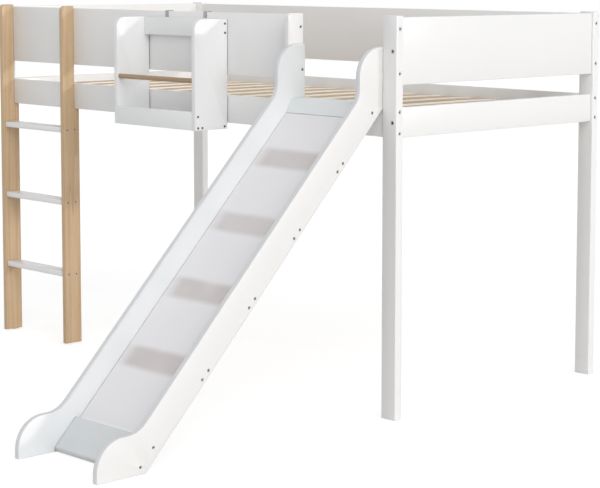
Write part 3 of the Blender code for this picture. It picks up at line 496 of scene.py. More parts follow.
def sheet_finish():
    """Gloss laminate. A batten's band is a smooth step down from its half width in the distance to its middle.

    The bands fade towards the sheet's left edge, where the sheet lifts off the battens. Painted shadow draws a dark
    line where the sheet slips under the start board, and painted reflection a pale one at the landing board's edge.
    """
    material, tree, shader = new_finish("finish_slide_laminate")
    place = add_node(tree, "TexCoord").outputs["Object"]
    slope = down_the_slope(tree, place)
    haze = use_group(tree, SLOW_CHANGE, Size=0.12, Seed=11.0)["Value"]
    wander = calculate(tree, "MULTIPLY", calculate(tree, "SUBTRACT", haze, 0.5), 0.003)
    along = calculate(tree, "ADD", slope, wander)
    band = 0.0
    for batten in batten_places:
        distance = gap_between(tree, along, batten)
        band = calculate(tree, "MAXIMUM", band, spread(tree, distance, *BAND_BORDER, 1.0, 0.0))
    across = calculate(tree, "SUBTRACT", add_node(tree, "SeparateXYZ", {0: place}).outputs["X"], sheet_left)
    band = calculate(tree, "MULTIPLY", band, spread(tree, across, *LEFT_FADE, 0.25, 1.0))
    # Painted shadow: a dark line where the sheet slips under the start board.
    line = spread(tree, gap_between(tree, slope, upper_joint), *PAINTED_SHADOW_BORDER, 1.0, 0.0)
    # Painted reflection: a pale line where the sheet meets the landing board.
    mirrored = spread(tree, gap_between(tree, slope, lower_joint), *PAINTED_REFLECTION_BORDER, 1.0, 0.0)
    drift = use_group(tree, SLOW_CHANGE, Size=0.5, Seed=3.0)["Value"]
    milk = blend_colours(tree, drift, *SHEET_MILK)
    tint = calculate(tree, "MULTIPLY", band, calculate(tree, "ADD", 0.72, calculate(tree, "MULTIPLY", haze, 0.2)))
    # Painted shade in the corners, kept off the painted reflection line.
    shade = use_group(tree, JOINT_SHADE, Reach=0.007)["Shade"]
    banded = blend_colours(tree, tint, milk, SHEET_BAND)
    lined = blend_colours(tree, mirrored, banded, SHEET_PAINTED_REFLECTION)
    painted_shade = calculate(tree, "MULTIPLY", shade, calculate(tree, "SUBTRACT", 0.95, mirrored, clamp=True))
    dark = calculate(tree, "MAXIMUM", painted_shade, calculate(tree, "MULTIPLY", line, 0.8))
    colour = blend_colours(tree, dark, lined, SHEET_PAINTED_SHADE)
    scuff = add_node(tree, "TexNoise", {"Vector": place, "Scale": 60.0, "Detail": 4.0}).outputs[0]
    sheen = calculate(tree, "ADD", 0.28, calculate(tree, "MULTIPLY", scuff, 0.10))
    edge = use_group(tree, SOFT_EDGE, Radius=0.001, Gain=3.0)
    height = use_group(tree, ORANGE_PEEL, Bump_Size=0.004)["Height"]
    fill_sockets(tree, shader, {
        "Base Color": colour,
        "Roughness": sheen,
        "Normal": bumped(tree, height, edge["Normal"], 0.5),
        "Coat Weight": 0.2,
        "Coat Roughness": 0.1,
    })
    return material


SLIDE_LAMINATE = sheet_finish()
print("finish", SLIDE_LAMINATE.name, "nodes", len(SLIDE_LAMINATE.node_tree.nodes))

# %% [markdown]
# ## The boards at the slide's two ends
# The start board and the landing board close the sheet's upper and lower end. Both are a pale grey under a
# glossier lacquer, in two copies that are painted light and shade: the start board's lighter, and the landing
# board's a shade darker, because it lies in the hollow between the slide's sides. It could be darkened by hand
# with a texture. Here the joint group's painted shade also reaches a little further on it, and its round nose,
# which turns down to the floor, is found by its place on the slope and takes a darker tone of painted shade.

# %% Finish: the lacquers of the start board and the landing board
GREY_COAT = 0.15
NOSE_ALONG = 1.3248
nose_place = float(np.dot(DOWN_SLOPE, slope_point(NOSE_ALONG, 0.0)))


def nose_shade_band(tree):
    """1 where the landing board turns under in a half circle at the slope's lower end: painted shade goes there."""
    slope = down_the_slope(tree, add_node(tree, "TexCoord").outputs["Object"])
    return spread(tree, slope, nose_place - 0.001, nose_place + 0.006)


# Painted light and shade: one grey in two copies, lighter on the start board and darker on the landing board.
START_LACQUER = lacquer_finish(
    "finish_start_lacquer", (0.87, 0.905, 0.915, 1), (0.845, 0.88, 0.895, 1), (0.95, 0.965, 0.97, 1), GREY_COAT
)
LANDING_LACQUER = lacquer_finish(
    "finish_landing_lacquer", (0.75, 0.785, 0.80, 1), (0.72, 0.76, 0.775, 1), (0.86, 0.88, 0.89, 1), GREY_COAT,
    # Painted shade: the joint group reaches 3 cm here, and the nose band takes a darker tone.
    reach=0.03, band_tone=(0.59, 0.615, 0.63, 1), band=nose_shade_band,
)
print("finish", LANDING_LACQUER.name, "nose", round(nose_place, 3))

# %% [markdown]
# ## Steel
# Screw heads and hooks are zinc plated or blackened steel, and the long bolts of the posts are brighter. Metal
# shows its surroundings, so its colour comes from Base Color with Metallic at 1, and what makes it believable is
# uneven roughness: faint brushing and a few rubs that shine on the edges. A head's socket is a darker steel of
# its own, which is partly dirt and partly painted shade for the hollow.


# %% Finish: plated steel
def steel_finish(name, colour, rubbed_colour, roughness):
    """Metal with fine scratches, brighter along its edges."""
    material, tree, shader = new_finish(name)
    place = add_node(tree, "TexCoord").outputs["Object"]
    drawn = add_node(tree, "Mapping", {"Vector": place, "Scale": (1.0, 1.0, 0.15)}).outputs[0]
    scratches = add_node(tree, "TexNoise", {"Vector": drawn, "Scale": 1500.0, "Detail": 3.0}).outputs[0]
    edge = use_group(tree, SOFT_EDGE, Radius=0.0006, Gain=5.0)
    tarnish = use_group(tree, SLOW_CHANGE, Size=0.01, Seed=4.0)["Value"]
    mixed = blend_colours(tree, calculate(tree, "MULTIPLY", tarnish, 0.25), colour, rubbed_colour)
    sheen = calculate(tree, "ADD", roughness, calculate(tree, "MULTIPLY", scratches, 0.2))
    fill_sockets(tree, shader, {
        "Base Color": blend_colours(tree, edge["Edge"], mixed, rubbed_colour),
        "Metallic": 1.0,
        "Roughness": sheen,
        "Normal": bumped(tree, calculate(tree, "MULTIPLY", scratches, 0.00002), edge["Normal"], 1.0),
    })
    return material


BOLT_STEEL = steel_finish("finish_bolt_steel", (0.40, 0.41, 0.43, 1), (0.66, 0.67, 0.68, 1), 0.30)
# Painted shade: sockets take a near-black steel, partly dirt and partly the shade of the hollow.
SOCKET_STEEL = steel_finish("finish_socket_steel", (0.030, 0.031, 0.034, 1), (0.10, 0.10, 0.11, 1), 0.50)
POST_STEEL = steel_finish("finish_post_bolt_steel", (0.66, 0.67, 0.69, 1), (0.84, 0.85, 0.86, 1), 0.30)
POST_SOCKET_STEEL = steel_finish("finish_post_socket_steel", (0.13, 0.132, 0.138, 1), (0.24, 0.24, 0.25, 1), 0.50)
HOOK_STEEL = steel_finish("finish_hook_steel", (0.33, 0.34, 0.35, 1), (0.50, 0.51, 0.53, 1), 0.32)
STEELS = (BOLT_STEEL, SOCKET_STEEL, POST_STEEL, POST_SOCKET_STEEL, HOOK_STEEL)
print("steel", [finish.name for finish in STEELS])

# %% [markdown]
# ## Dress the boards
# The boards of the frame already have their true shape, holes and rounded edges, so they stay and only get
# their finish: mostly the one that stands for the plain material they came with, and for a few boards their own.
# Their curved edges are made of short flat facets. A small geometry node tree joins each board's loose triangles
# and smooths the shading wherever two facets meet at less than 30 degrees. It is a modifier, so the measured
# mesh itself isn't touched.

# %% Finish for each node
SLOT_FINISHES = {
    "white_lacquer": WHITE_LACQUER,
    "ladder_wood": LADDER_WOOD,
    "slat_wood": SLAT_WOOD,
    "ledge_wood": LEDGE_WOOD,
    "dowel_wood": DOWEL_WOOD,
    "slide_laminate": SLIDE_LAMINATE,
    "dark_steel": HOOK_STEEL,
    "bolt_steel": BOLT_STEEL,
}
OWN_FINISHES = {
    "slide_side_left": LEFT_LACQUER,
    "slide_side_right": RIGHT_LACQUER,
    "slide_start_board": START_LACQUER,
    "slide_landing_board": LANDING_LACQUER,
}


def dress(name):
    """Swap the plain material of a node for its finish. The slide's boards and the shelf take their own tones."""
    node = frame["nodes"][name]
    for slot in node.material_slots:
        plain = slot.material.name.split(".")[0]
        finish = OWN_FINISHES.get(name) or SLOT_FINISHES[plain]
        if finish == WHITE_LACQUER and name.startswith("shelf_"):
            finish = SHELF_LACQUER
        slot.material = finish


for name in frame["nodes"]:
    dress(name)
print("dressed", len(frame["nodes"]), "nodes,", len(OWN_FINISHES), "of them with a finish of their own")

# %% Smooth the curved edges
WELD_DISTANCE = 0.00002
SMOOTH_BELOW = math.radians(30.0)


def smooth_curves_tree():
    """Weld points closer than two hundredths of a millimetre, and keep an edge sharp where its faces turn by more
    than 30 degrees."""
    tree = bpy.data.node_groups.new("smooth curves", "GeometryNodeTree")
    tree.interface.new_socket("Geometry", in_out="INPUT", socket_type="NodeSocketGeometry")
    tree.interface.new_socket("Geometry", in_out="OUTPUT", socket_type="NodeSocketGeometry")
    source = tree.nodes.new("NodeGroupInput")
    weld = tree.nodes.new("GeometryNodeMergeByDistance")
    angle = tree.nodes.new("GeometryNodeInputMeshEdgeAngle")
    sharp = tree.nodes.new("FunctionNodeCompare")
    sharp.operation = "GREATER_THAN"
    shade = tree.nodes.new("GeometryNodeSetMeshNormal")
    shade.mode = "SHARPNESS"
    result = tree.nodes.new("NodeGroupOutput")
    fill_sockets(tree, weld, {"Geometry": source.outputs[0], "Distance": WELD_DISTANCE})
    fill_sockets(tree, sharp, {0: angle.outputs["Unsigned Angle"], 1: SMOOTH_BELOW})
    fill_sockets(tree, shade, {"Mesh": weld.outputs[0], "Remove Custom": True, "Edge Sharpness": sharp.outputs[0]})
    fill_sockets(tree, result, {0: shade.outputs[0]})
    return tree


SMOOTH_CURVES = smooth_curves_tree()
for node in frame["nodes"].values():
    node.modifiers.new("smooth_curves", "NODES").node_group = SMOOTH_CURVES
print("smoothed", len(frame["nodes"]), "nodes below", round(math.degrees(SMOOTH_BELOW)), "degrees")

# %% [markdown]
# ## Surfaces from arrays
# New pieces are worked out as arrays of points. Most are a closed profile carried along a path, which gives a
# grid with one row for each place on the path. The helper below joins such a grid into faces that point
# outwards and closes its two ends.


# %% Grid helpers
def grid_faces(rows, columns):
    """Four-sided faces of a grid closed round its columns: corner (r, c) joins (r, c+1), (r+1, c+1), (r+1, c)."""
    row = np.arange(rows - 1)[:, None] * columns
    here = np.arange(columns)[None, :]
    right = (here + 1) % columns
    return np.stack([row + here, row + right, row + columns + right, row + columns + here], axis=-1).reshape(-1, 4)


def tube_mesh(name, grid):
    """A closed body from a grid of rows x columns x 3, each end closed by one flat face."""
    rows, columns = grid.shape[:2]
    faces = grid_faces(rows, columns).tolist()
    first, last = np.arange(columns), np.arange(columns) + (rows - 1) * columns
    faces += [first[::-1].tolist(), last.tolist()]
    mesh = bpy.data.meshes.new(name)
    mesh.from_pydata(grid.reshape(-1, 3).tolist(), [], faces)
    mesh.shade_smooth()
    mesh.set_sharp_from_angle(angle=SMOOTH_BELOW)
    mesh.validate()
    return mesh


def new_piece(name, mesh, material, body, slot, *stands_for):
    """An object for a mesh whose place is in its points, riding on a body and standing for the nodes named."""
    if not mesh.materials:
        mesh.materials.append(material)
    piece = bpy.data.objects.new(name, mesh)
    bpy.context.scene.collection.objects.link(piece)
    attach(piece, body)
    if stands_for:
        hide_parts(*stands_for)
    return piece


def signed_volume(mesh):
    """Sum over triangles of their corners' triple product over 6, which is above 0 when faces point outwards."""
    mesh.calc_loop_triangles()
    corners = np.empty(len(mesh.loop_triangles) * 3, dtype=np.int32)
    mesh.loop_triangles.foreach_get("vertices", corners)
    points = np.empty(len(mesh.vertices) * 3)
    mesh.vertices.foreach_get("co", points)
    a, b, c = points.reshape(-1, 3)[corners.reshape(-1, 3)].transpose(1, 0, 2)
    return float(np.einsum("ij,ij->i", a, np.cross(b, c)).sum() / 6)


print("a 3 by 4 grid has", len(grid_faces(3, 4)), "faces")

# %% [markdown]
# ## Bowed slats
# The slats are sprung: each is flat for most of its length and bends down near its ends, where it lies on the
# ledges. A flat board with a bend modifier would thin at the bend, so the slat is a rounded rectangle carried
# along its curve. Its long edges are near white, partly the pale glued layers and partly painted light, so a
# stripe attribute marks those faces.

# %% Slats
SLAT_WIDTH = 0.068
SLAT_THICKNESS = 0.008
SLAT_RISE = 0.019
SLAT_FLATNESS = 5
SLAT_EDGE_ROUND = 0.0022
SLAT_STATIONS = 49
CORNER_STEPS = 4
LONG_EDGE_FACING = 0.6


def rounded_rectangle(width, height, radius):
    """Corner points at (+-(w/2-r), +-(h/2-r)) plus r times (cos, sin) of angles through each quarter turn."""
    turn = np.linspace(0.0, math.pi / 2, CORNER_STEPS + 1)
    angles = (np.arange(4)[:, None] * math.pi / 2 + turn[None, :]).ravel()
    signs = np.repeat([[1, 1], [-1, 1], [-1, -1], [1, -1]], CORNER_STEPS + 1, axis=0)
    corners = signs * np.array([width / 2 - radius, height / 2 - radius])
    return corners + radius * np.stack([np.cos(angles), np.sin(angles)], axis=1)


def slat_grid(name):
    """Rise along the slat is the full rise times 1 minus |share of half length| to the fifth power."""
    low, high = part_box(name)
    half = (high.y - low.y) / 2
    share = np.sin(np.linspace(-math.pi / 2, math.pi / 2, SLAT_STATIONS))
    rise = SLAT_RISE * (1 - np.abs(share) ** SLAT_FLATNESS) + low.z + SLAT_THICKNESS / 2
    section = rounded_rectangle(SLAT_WIDTH, SLAT_THICKNESS, SLAT_EDGE_ROUND)
    x = np.broadcast_to((low.x + high.x) / 2 + section[:, 0], (SLAT_STATIONS, len(section)))
    y = np.broadcast_to(((low.y + high.y) / 2 + share * half)[:, None], x.shape)
    return np.stack([x, y, rise[:, None] + section[None, :, 1]], axis=-1)


def mark_long_edges(mesh):
    """A stripe value of 1 on faces whose normal lies mostly along X, which are the slat's long edges."""
    normals = np.empty(len(mesh.polygons) * 3)
    mesh.polygons.foreach_get("normal", normals)
    on_edge = np.abs(normals.reshape(-1, 3)[:, 0]) > LONG_EDGE_FACING
    mesh.attributes.new(EDGE_STRIPE, "FLOAT", "FACE").data.foreach_set("value", on_edge.astype(np.float32))


slat_names = sorted(name for name in frame["nodes"] if name.startswith("slat_") and "ledge" not in name)
for name in slat_names:
    mesh = tube_mesh(name + "_bowed", slat_grid(name)[:, ::-1])
    mark_long_edges(mesh)
    new_piece(name + "_bowed", mesh, SLAT_WOOD, "bed", "slat_wood", name)
print("slats", len(slat_names), "volume of one", round(signed_volume(mesh) * 1e6), "cubic centimetres")

# %% [markdown]
# ## Dowel and hooks
# The shelf's dowel is a turned bar, and the hooks are strips of steel bent over the guard board, which carry the
# shelf. A curve with a bevel could make both, but its bends would be round where a bent strip is flat. So both
# are profiles carried along a path: a circle along a straight line, and the strip's whole outline, with an arc at
# each bend, carried across its width.

# %% Dowel
DOWEL_SIDES = 48
DOWEL_STATIONS = 17


def bar_grid(name):
    """Rings along X: the point at angle a lies at (station, radius cos a, radius sin a) from the bar's axis."""
    low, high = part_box(name)
    radius = (high.z - low.z) / 2
    angle = np.arange(DOWEL_SIDES) * 2 * math.pi / DOWEL_SIDES
    x = np.broadcast_to(np.linspace(low.x, high.x, DOWEL_STATIONS)[:, None], (DOWEL_STATIONS, DOWEL_SIDES))
    y = np.broadcast_to((low.y + high.y) / 2 + radius * np.cos(angle), x.shape)
    z = np.broadcast_to((low.z + high.z) / 2 + radius * np.sin(angle), x.shape)
    return np.stack([x, y, z], axis=-1)


mesh = tube_mesh("shelf_dowel_bar", bar_grid("shelf_dowel"))
new_piece("shelf_dowel_bar", mesh, DOWEL_WOOD, "hanging_shelf", "dowel_wood", "shelf_dowel")
print("dowel, volume", round(signed_volume(mesh) * 1e6), "cubic centimetres")

# %% Rounded outlines
ARC_POINTS = 7


def rounded_outline(corners):
    """Arc of each corner (x, y, r), or the corner itself where r is 0.

    The arc's centre lies on the bisector at r / sin(half angle), and it sweeps from one tangent point to the other.
    """
    corners = np.array(corners, dtype=float)
    spots, radii = corners[:, :2], corners[:, 2:]
    last = np.roll(spots, 1, axis=0) - spots
    following = np.roll(spots, -1, axis=0) - spots
    last /= np.linalg.norm(last, axis=1, keepdims=True)
    following /= np.linalg.norm(following, axis=1, keepdims=True)
    bisector = (last + following) / np.linalg.norm(last + following, axis=1, keepdims=True)
    half = np.arccos(np.clip((last * following).sum(axis=1, keepdims=True), -1, 1)) / 2
    centre = spots + bisector * radii / np.sin(half)
    spoke = spots + last * radii / np.tan(half) - centre
    cross = last[:, :1] * following[:, 1:] - last[:, 1:] * following[:, :1]
    sweep = (math.pi - 2 * half) * -np.sign(cross) * np.linspace(0, 1, ARC_POINTS)[None, :]
    x = centre[:, :1] + spoke[:, :1] * np.cos(sweep) - spoke[:, 1:] * np.sin(sweep)
    y = centre[:, 1:] + spoke[:, :1] * np.sin(sweep) + spoke[:, 1:] * np.cos(sweep)
    points = np.stack([x, y], axis=-1)
    kept = np.broadcast_to((radii > 0) | (np.arange(ARC_POINTS)[None, :] == 0), x.shape)
    return points[kept]


unit_square = rounded_outline([(0, 0, 0.1), (1, 0, 0.1), (1, 1, 0.1), (0, 1, 0)])
print("a square with three rounded corners has", len(unit_square), "points")

# %% Hooks
STRIP = 0.0024
HOOK_BEND = 0.0035
HOOK_INNER_LEG = 0.045
HOOK_END_ROUND = 0.0008
HOOK_EDGE = 0.0004


def hook_outline(low, high):
    """The strip's outline seen from the side: up the shelf's back, over the board, down its inner face."""
    inner = high.z - STRIP
    inside_end = inner - HOOK_INNER_LEG
    small = HOOK_BEND - STRIP
    return rounded_outline([
        (low.y, low.z, HOOK_END_ROUND),
        (low.y + STRIP, low.z, HOOK_END_ROUND),
        (low.y + STRIP, inner, small),
        (high.y - STRIP, inner, small),
        (high.y - STRIP, inside_end, HOOK_END_ROUND),
        (high.y, inside_end, HOOK_END_ROUND),
        (high.y, high.z, HOOK_BEND),
        (low.y, high.z, HOOK_BEND),
    ])


for name in ("shelf_hook_left", "shelf_hook_right"):
    low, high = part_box(name)
    outline = hook_outline(low, high)
    across = np.array([low.x, low.x + HOOK_EDGE, high.x - HOOK_EDGE, high.x])
    x = np.broadcast_to(across[:, None], (len(across), len(outline)))
    grid = np.stack([x, np.broadcast_to(outline[:, 0], x.shape), np.broadcast_to(outline[:, 1], x.shape)], axis=-1)
    mesh = tube_mesh(name + "_strip", grid)
    new_piece(name + "_strip", mesh, HOOK_STEEL, "hanging_shelf", "dark_steel", name)
    print(name, len(outline), "points round, volume", round(signed_volume(mesh) * 1e6, 2), "cubic centimetres")

# %% [markdown]
# ## Bolts and screws
# The bolts have a hexagon socket. A cylinder with a hexagon cut out by a Boolean would do, but leaves ragged
# faces. Here a turned profile gives the head, and for the rows inside the socket the radius follows a hexagon:
# half the distance across the flats over the cosine of the angle to the nearest flat. All heads of one kind on
# one board are copies of the same few points, placed by arrays, so they cost almost nothing.

# %% Socket heads
HEAD_SIDES = 24
SOCKET_ROWS = 3
SOCKET_DISH = 0.0002


def socket_head(radius, height, socket, depth, shank, reach):
    """Rings from the socket's floor, up its hexagon, over the head and down the shank, along the axis +Z."""
    angle = np.arange(HEAD_SIDES) * 2 * math.pi / HEAD_SIDES
    from_flat = np.mod(angle, math.pi / 3) - math.pi / 6
    hexagon = socket / np.cos(from_flat)
    chamfer = radius * 0.12
    rows = [
        (0.25 * hexagon, -depth - SOCKET_DISH),
        (hexagon, -depth),
        (hexagon, -chamfer * 0.5),
        (hexagon + chamfer * 0.5, 0.0),
        (np.full(HEAD_SIDES, radius - chamfer), 0.0),
        (np.full(HEAD_SIDES, radius - chamfer * 0.3), -chamfer * 0.3),
        (np.full(HEAD_SIDES, radius), -chamfer),
        (np.full(HEAD_SIDES, radius), -height),
        (np.full(HEAD_SIDES, shank), -height),
        (np.full(HEAD_SIDES, shank), -reach),
    ]
    rings = [np.stack([r * np.cos(angle), r * np.sin(angle), np.full(HEAD_SIDES, z)], axis=-1) for r, z in rows]
    return np.array(rings)


def placed(grid, mouths, outward):
    """Copies of a grid, its Z turned to the outward direction and its origin at each mouth."""
    turn = np.array(Vector((0, 0, 1)).rotation_difference(Vector(outward)).to_matrix())
    return (grid @ turn.T)[None] + np.array(mouths, dtype=float)[:, None, None, :]


def heads_mesh(name, grid, mouths, outward, steels=(BOLT_STEEL, SOCKET_STEEL)):
    """One mesh with a closed body at each mouth. The second steel is that of the socket's rows and its floor."""
    rows, columns = grid.shape[:2]
    points = placed(grid, mouths, outward).reshape(-1, 3)
    faces = grid_faces(rows, columns).tolist()
    faces += [np.arange(columns)[::-1].tolist(), (np.arange(columns) + (rows - 1) * columns).tolist()]
    step = rows * columns
    every = [[corner + step * copy for corner in face] for copy in range(len(mouths)) for face in faces]
    mesh = bpy.data.meshes.new(name)
    mesh.from_pydata(points.tolist(), [], every)
    mesh.shade_smooth()
    mesh.set_sharp_from_angle(angle=SMOOTH_BELOW)
    in_socket = np.zeros(len(faces), dtype=np.int32)
    in_socket[(rows - 1 - SOCKET_ROWS) * columns:(rows - 1) * columns] = 1
    in_socket[-1] = 1
    for steel in steels:
        mesh.materials.append(steel)
    mesh.polygons.foreach_set("material_index", np.tile(in_socket, len(mouths)))
    return mesh


print("a head has", HEAD_SIDES, "sides and", SOCKET_ROWS, "rows inside its socket")

# %% Long bolts of the right posts
BOLT_HEAD = {"radius": 0.0065, "height": 0.005, "socket": 0.0028, "depth": 0.003, "shank": 0.003}
for name in sorted(name for name in frame["nodes"] if name.startswith("bolt_")):
    low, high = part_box(name)
    bolt_grid = socket_head(**BOLT_HEAD, reach=high.x - low.x)
    mouth = (high.x, (low.y + high.y) / 2, (low.z + high.z) / 2)
    mesh = heads_mesh(name + "_socket", bolt_grid[::-1], [mouth], (1, 0, 0), (POST_STEEL, POST_SOCKET_STEEL))
    new_piece(name + "_socket", mesh, POST_STEEL, "bed", "bolt_steel", name)
print("long bolts, volume of one", round(signed_volume(mesh) * 1e6, 2), "cubic centimetres")

# %% [markdown]
# ## Heads in the drilled seats
# Everywhere else the bed's screws and bolts show only a head. Their seats are drilled in the measured boards, and
# a head either lies in its seat, a trace below the face, or is wider than the seat and stands on the face. Both
# are the same turned profile with other measures. Modelling each whole screw would add nothing that can be seen,
# so a head ends in the board. Its place is counted from the board that it sits in.

# %% Seated and proud heads
SEAT_DEPTH = 0.002
SEATED_LEVEL = -0.0006
SEATED_HEIGHT = SEAT_DEPTH + SEATED_LEVEL
PROUD_LEVEL = 0.0008
PROUD_SHANK = 0.0028


def add_heads(name, grid, level, mouths, outward, body):
    """One piece with a head at each mouth, its top at a level above the board's face. Returns their number."""
    raised = np.array(mouths, dtype=float) + np.array(outward, dtype=float) * level
    new_piece(name, heads_mesh(name, grid[::-1], raised, outward), BOLT_STEEL, body, "bolt_steel")
    return len(mouths)


def seated_heads(name, radius, mouths, outward, body):
    """Heads just under a board's face, in its drilled seats."""
    grid = socket_head(
        radius, SEATED_HEIGHT, socket=radius * 0.45, depth=SEAT_DEPTH * 0.55, shank=radius * 0.9,
        reach=SEATED_HEIGHT + 0.0001,
    )
    return add_heads(name, grid, SEATED_LEVEL, mouths, outward, body)


def proud_heads(name, radius, mouths, outward, body):
    """Flat heads that stand on a board's face, wider than the drilled seat that their shanks go into."""
    grid = socket_head(
        radius, PROUD_LEVEL - 0.00005, socket=radius * 0.62, depth=PROUD_LEVEL * 0.7, shank=PROUD_SHANK,
        reach=PROUD_LEVEL + 0.0017,
    )
    return add_heads(name, grid, PROUD_LEVEL, mouths, outward, body)


print("seated heads are", 1000 * SEATED_HEIGHT, "mm high, proud ones rise", 1000 * PROUD_LEVEL, "mm")

# %% Bolt heads of the frame
FRAME_HEAD_RADIUS = 0.0064
RAIL_BOLT_SHIFT = 0.032
GUARD_BOLT_SHIFT = 0.066
bed_low, bed_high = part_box("post_front_left")[0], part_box("post_back_right")[1]
end_board = middle("end_rail_right").x
rail_level, guard_level = middle("side_rail_front").z, middle("guard_board_front").z
pairs = ((rail_level, RAIL_BOLT_SHIFT), (guard_level, GUARD_BOLT_SHIFT))
bolt_levels = [level + side * shift for level, shift in pairs for side in (-1, 1)]
front_mouths = [(side * end_board, bed_low.y, z) for side in (-1, 1) for z in (rail_level, guard_level)]
back_mouths = [(x, bed_high.y, z) for x, _, z in front_mouths]
left_mouths = [(bed_low.x, middle(post).y, z) for post in ("post_front_left", "post_back_left") for z in bolt_levels]
made = seated_heads("frame_heads_front", FRAME_HEAD_RADIUS, front_mouths, (0, -1, 0), "bed")
made += seated_heads("frame_heads_back", FRAME_HEAD_RADIUS, back_mouths, (0, 1, 0), "bed")
made += seated_heads("frame_heads_left", FRAME_HEAD_RADIUS, left_mouths, (-1, 0, 0), "bed")
print("heads in the frame", made)

# %% Heads in the slide's sides
SLIDE_HEAD_RADIUS = 0.0046
BATTEN_SCREWS = {"alongs": (0.2465, 0.4948, 0.7431, 0.9914), "above": 0.0124, "shift": 0.016}
LANDING_SCREWS = {"alongs": (1.2739,), "above": 0.0267, "shift": 0.032}
START_SPOT = (0.00886, 0.92794)
INNER_SPOT = (0.05975, 1.0405)
UPRIGHT_SPOT = (0.06875, 1.1725)


def screw_pairs(alongs, above, shift):
    """Two places (y, z) at each place along the slope, a shift before it and a shift after it."""
    return [slope_point(along + side * shift, above) for along in alongs for side in (-1, 1)]


slide_spots = [*screw_pairs(**BATTEN_SCREWS), *screw_pairs(**LANDING_SCREWS), START_SPOT]
slide_left, slide_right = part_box("slide_side_left"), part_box("slide_side_right")
right_mouths = [(slide_right[1].x, y, z) for y, z in slide_spots]
left_mouths = [(slide_left[0].x, y, z) for y, z in slide_spots]
inner_mouths = [(slide_left[1].x, *INNER_SPOT), (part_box("opening_upright")[1].x, *UPRIGHT_SPOT)]
made = seated_heads("slide_heads_right", SLIDE_HEAD_RADIUS, right_mouths, (1, 0, 0), "bed")
made += seated_heads("slide_heads_left", SLIDE_HEAD_RADIUS, left_mouths, (-1, 0, 0), "bed")
made += seated_heads("opening_heads", SLIDE_HEAD_RADIUS, inner_mouths, (1, 0, 0), "bed")
print("heads in the slide", made)

# %% Heads in the ladder and the shelf
LADDER_HEAD_RADIUS = 0.0038
LADDER_SCREW_MIDDLE = 0.04225
LADDER_SCREW_SHIFT = 0.0165
SHELF_HEAD_RADIUS = 0.0043
SHELF_SPOTS = ((-0.009, 0.341), (-0.009, 0.311), (-0.124, 0.04425), (-0.124, 0.008), (-0.106, 0.008), (-0.012, 0.008))


def heads_both_sides(which, radius, spots, body):
    """Proud heads at the places (y, z) on the outer faces of a ladder's or a shelf's left and right side."""
    left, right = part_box(which + "_side_left")[0].x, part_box(which + "_side_right")[1].x
    heads = proud_heads(which + "_heads_left", radius, [(left, y, z) for y, z in spots], (-1, 0, 0), body)
    return heads + proud_heads(which + "_heads_right", radius, [(right, y, z) for y, z in spots], (1, 0, 0), body)


rung_levels = [middle("ladder_rung_" + which).z for which in ("bottom", "middle", "top")]
ladder_spots = [(LADDER_SCREW_MIDDLE + side * LADDER_SCREW_SHIFT, z) for z in rung_levels for side in (-1, 1)]
shelf_back, shelf_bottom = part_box("shelf_side_right")[1].y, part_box("shelf_side_left")[0].z
shelf_spots = [(shelf_back + y, shelf_bottom + z) for y, z in SHELF_SPOTS]
made = heads_both_sides("ladder", LADDER_HEAD_RADIUS, ladder_spots, "bed")
made += heads_both_sides("shelf", SHELF_HEAD_RADIUS, shelf_spots, "hanging_shelf")
print("heads in the ladder and the shelf", made)

# %% [markdown]
# ## Floor and light
# The bed stands in a white studio. The floor is a large pale plane. To the camera it is nearly white by itself,
# so that only the shadow of the bed is left to see, and to the bed it is plain white paint that throws light back
# up. The photograph is lit from the right. Two broad lamps stand there to the front, one low and one high, and a
# small one shines from the rear: it draws the crisp edges of shade on the ladder and slips through the gaps
# between the boards onto the ends of the slats. A weak broad lamp at the left and the pale world fill the rest.
# Together they add up to about 1 on the boards that face right, at which a colour shows as it was written.

# %% Floor
FLOOR_SIZE = 30.0
FLOOR_DROP = 0.0005


def looked_at(tree):
    """1 for the rays that show a surface to the eye: straight, in a reflection or through glass."""
    path = add_node(tree, "LightPath").outputs
    mirrored = calculate(tree, "MAXIMUM", path["Is Glossy Ray"], path["Is Transmission Ray"])
    return calculate(tree, "MAXIMUM", path["Is Camera Ray"], mirrored)


def floor_finish():
    """White paint for the light that it throws back. Looked at, it is near white by itself and keeps the shadow."""
    material, tree, shader = new_finish("floor_paint")
    place = add_node(tree, "TexCoord").outputs["Object"]
    speckle = add_node(tree, "TexNoise", {"Vector": place, "Scale": 0.1, "Detail": 2.0}).outputs[0]
    paint = blend_colours(tree, speckle, (0.84, 0.84, 0.84, 1), (0.80, 0.80, 0.80, 1))
    fill_sockets(tree, shader, {"Base Color": paint, "Roughness": 0.9, "Specular IOR Level": 0.0})
    seen_paint = add_node(tree, "BsdfDiffuse", {"Color": (0.40, 0.40, 0.40, 1)}).outputs[0]
    glow = add_node(tree, "Emission", {"Color": (1, 1, 1, 1), "Strength": 0.76}).outputs[0]
    seen = add_node(tree, "AddShader", {0: seen_paint, 1: glow}).outputs[0]
    mixed = add_node(tree, "MixShader", {0: looked_at(tree), 1: shader.outputs[0], 2: seen}).outputs[0]
    fill_sockets(tree, tree.nodes["Material Output"], {"Surface": mixed})
    return material


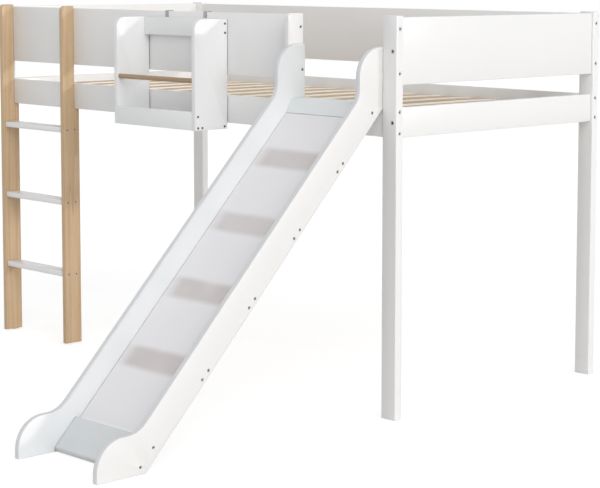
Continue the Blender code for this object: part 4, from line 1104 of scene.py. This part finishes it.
half = FLOOR_SIZE / 2
corners = [(x * half, y * half, -FLOOR_DROP) for x, y in ((-1, -1), (1, -1), (1, 1), (-1, 1))]
floor_mesh = bpy.data.meshes.new("studio_floor")
floor_mesh.from_pydata(corners, [], [(0, 1, 2, 3)])
floor_mesh.materials.append(floor_finish())
floor = bpy.data.objects.new("studio_floor", floor_mesh)
bpy.context.scene.collection.objects.link(floor)
print("floor", FLOOR_SIZE, "m wide")

# %% World and lamps
WORLD_LEVEL = 0.39


def studio_world():
    """A soft grey for the light, plain white where it is looked at or reflected."""
    world = bpy.data.worlds.new("studio")
    world.use_nodes = True
    tree = world.node_tree
    soft = tree.nodes["Background"]
    fill_sockets(tree, soft, {"Color": (0.975, 0.985, 1.0, 1), "Strength": WORLD_LEVEL})
    white = add_node(tree, "Background", {"Color": (1, 1, 1, 1), "Strength": 1.0}).outputs[0]
    mixed = add_node(tree, "MixShader", {0: looked_at(tree), 1: soft.outputs[0], 2: white}).outputs[0]
    fill_sockets(tree, tree.nodes["World Output"], {"Surface": mixed})
    return world


def add_sun(name, towards, strength, softness, colour):
    """A lamp far away that shines along a direction. Softness is how wide it looks from the bed, in degrees."""
    lamp = bpy.data.lights.new(name, "SUN")
    lamp.energy = strength
    lamp.angle = math.radians(softness)
    lamp.color = colour
    holder = bpy.data.objects.new(name, lamp)
    holder.rotation_mode = "QUATERNION"
    holder.rotation_quaternion = Vector(towards).to_track_quat("-Z", "Y")
    bpy.context.scene.collection.objects.link(holder)


bpy.context.scene.world = studio_world()
add_sun("key_from_right_rear", (-1.0, -0.324, -0.22), 0.57, 2.5, (1.0, 0.975, 0.95))
add_sun("soft_box_right", (-1.0, 0.50, -0.50), 1.06, 55.0, (1.0, 0.982, 0.96))
add_sun("soft_box_right_high", (-1.0, 0.30, -1.0), 0.62, 45.0, (1.0, 0.985, 0.965))
add_sun("soft_box_front_left", (0.70, 1.0, -0.50), 0.20, 30.0, (0.97, 0.985, 1.0))
print("world level", WORLD_LEVEL, "lamps", sorted(lamp.name for lamp in bpy.data.lights))
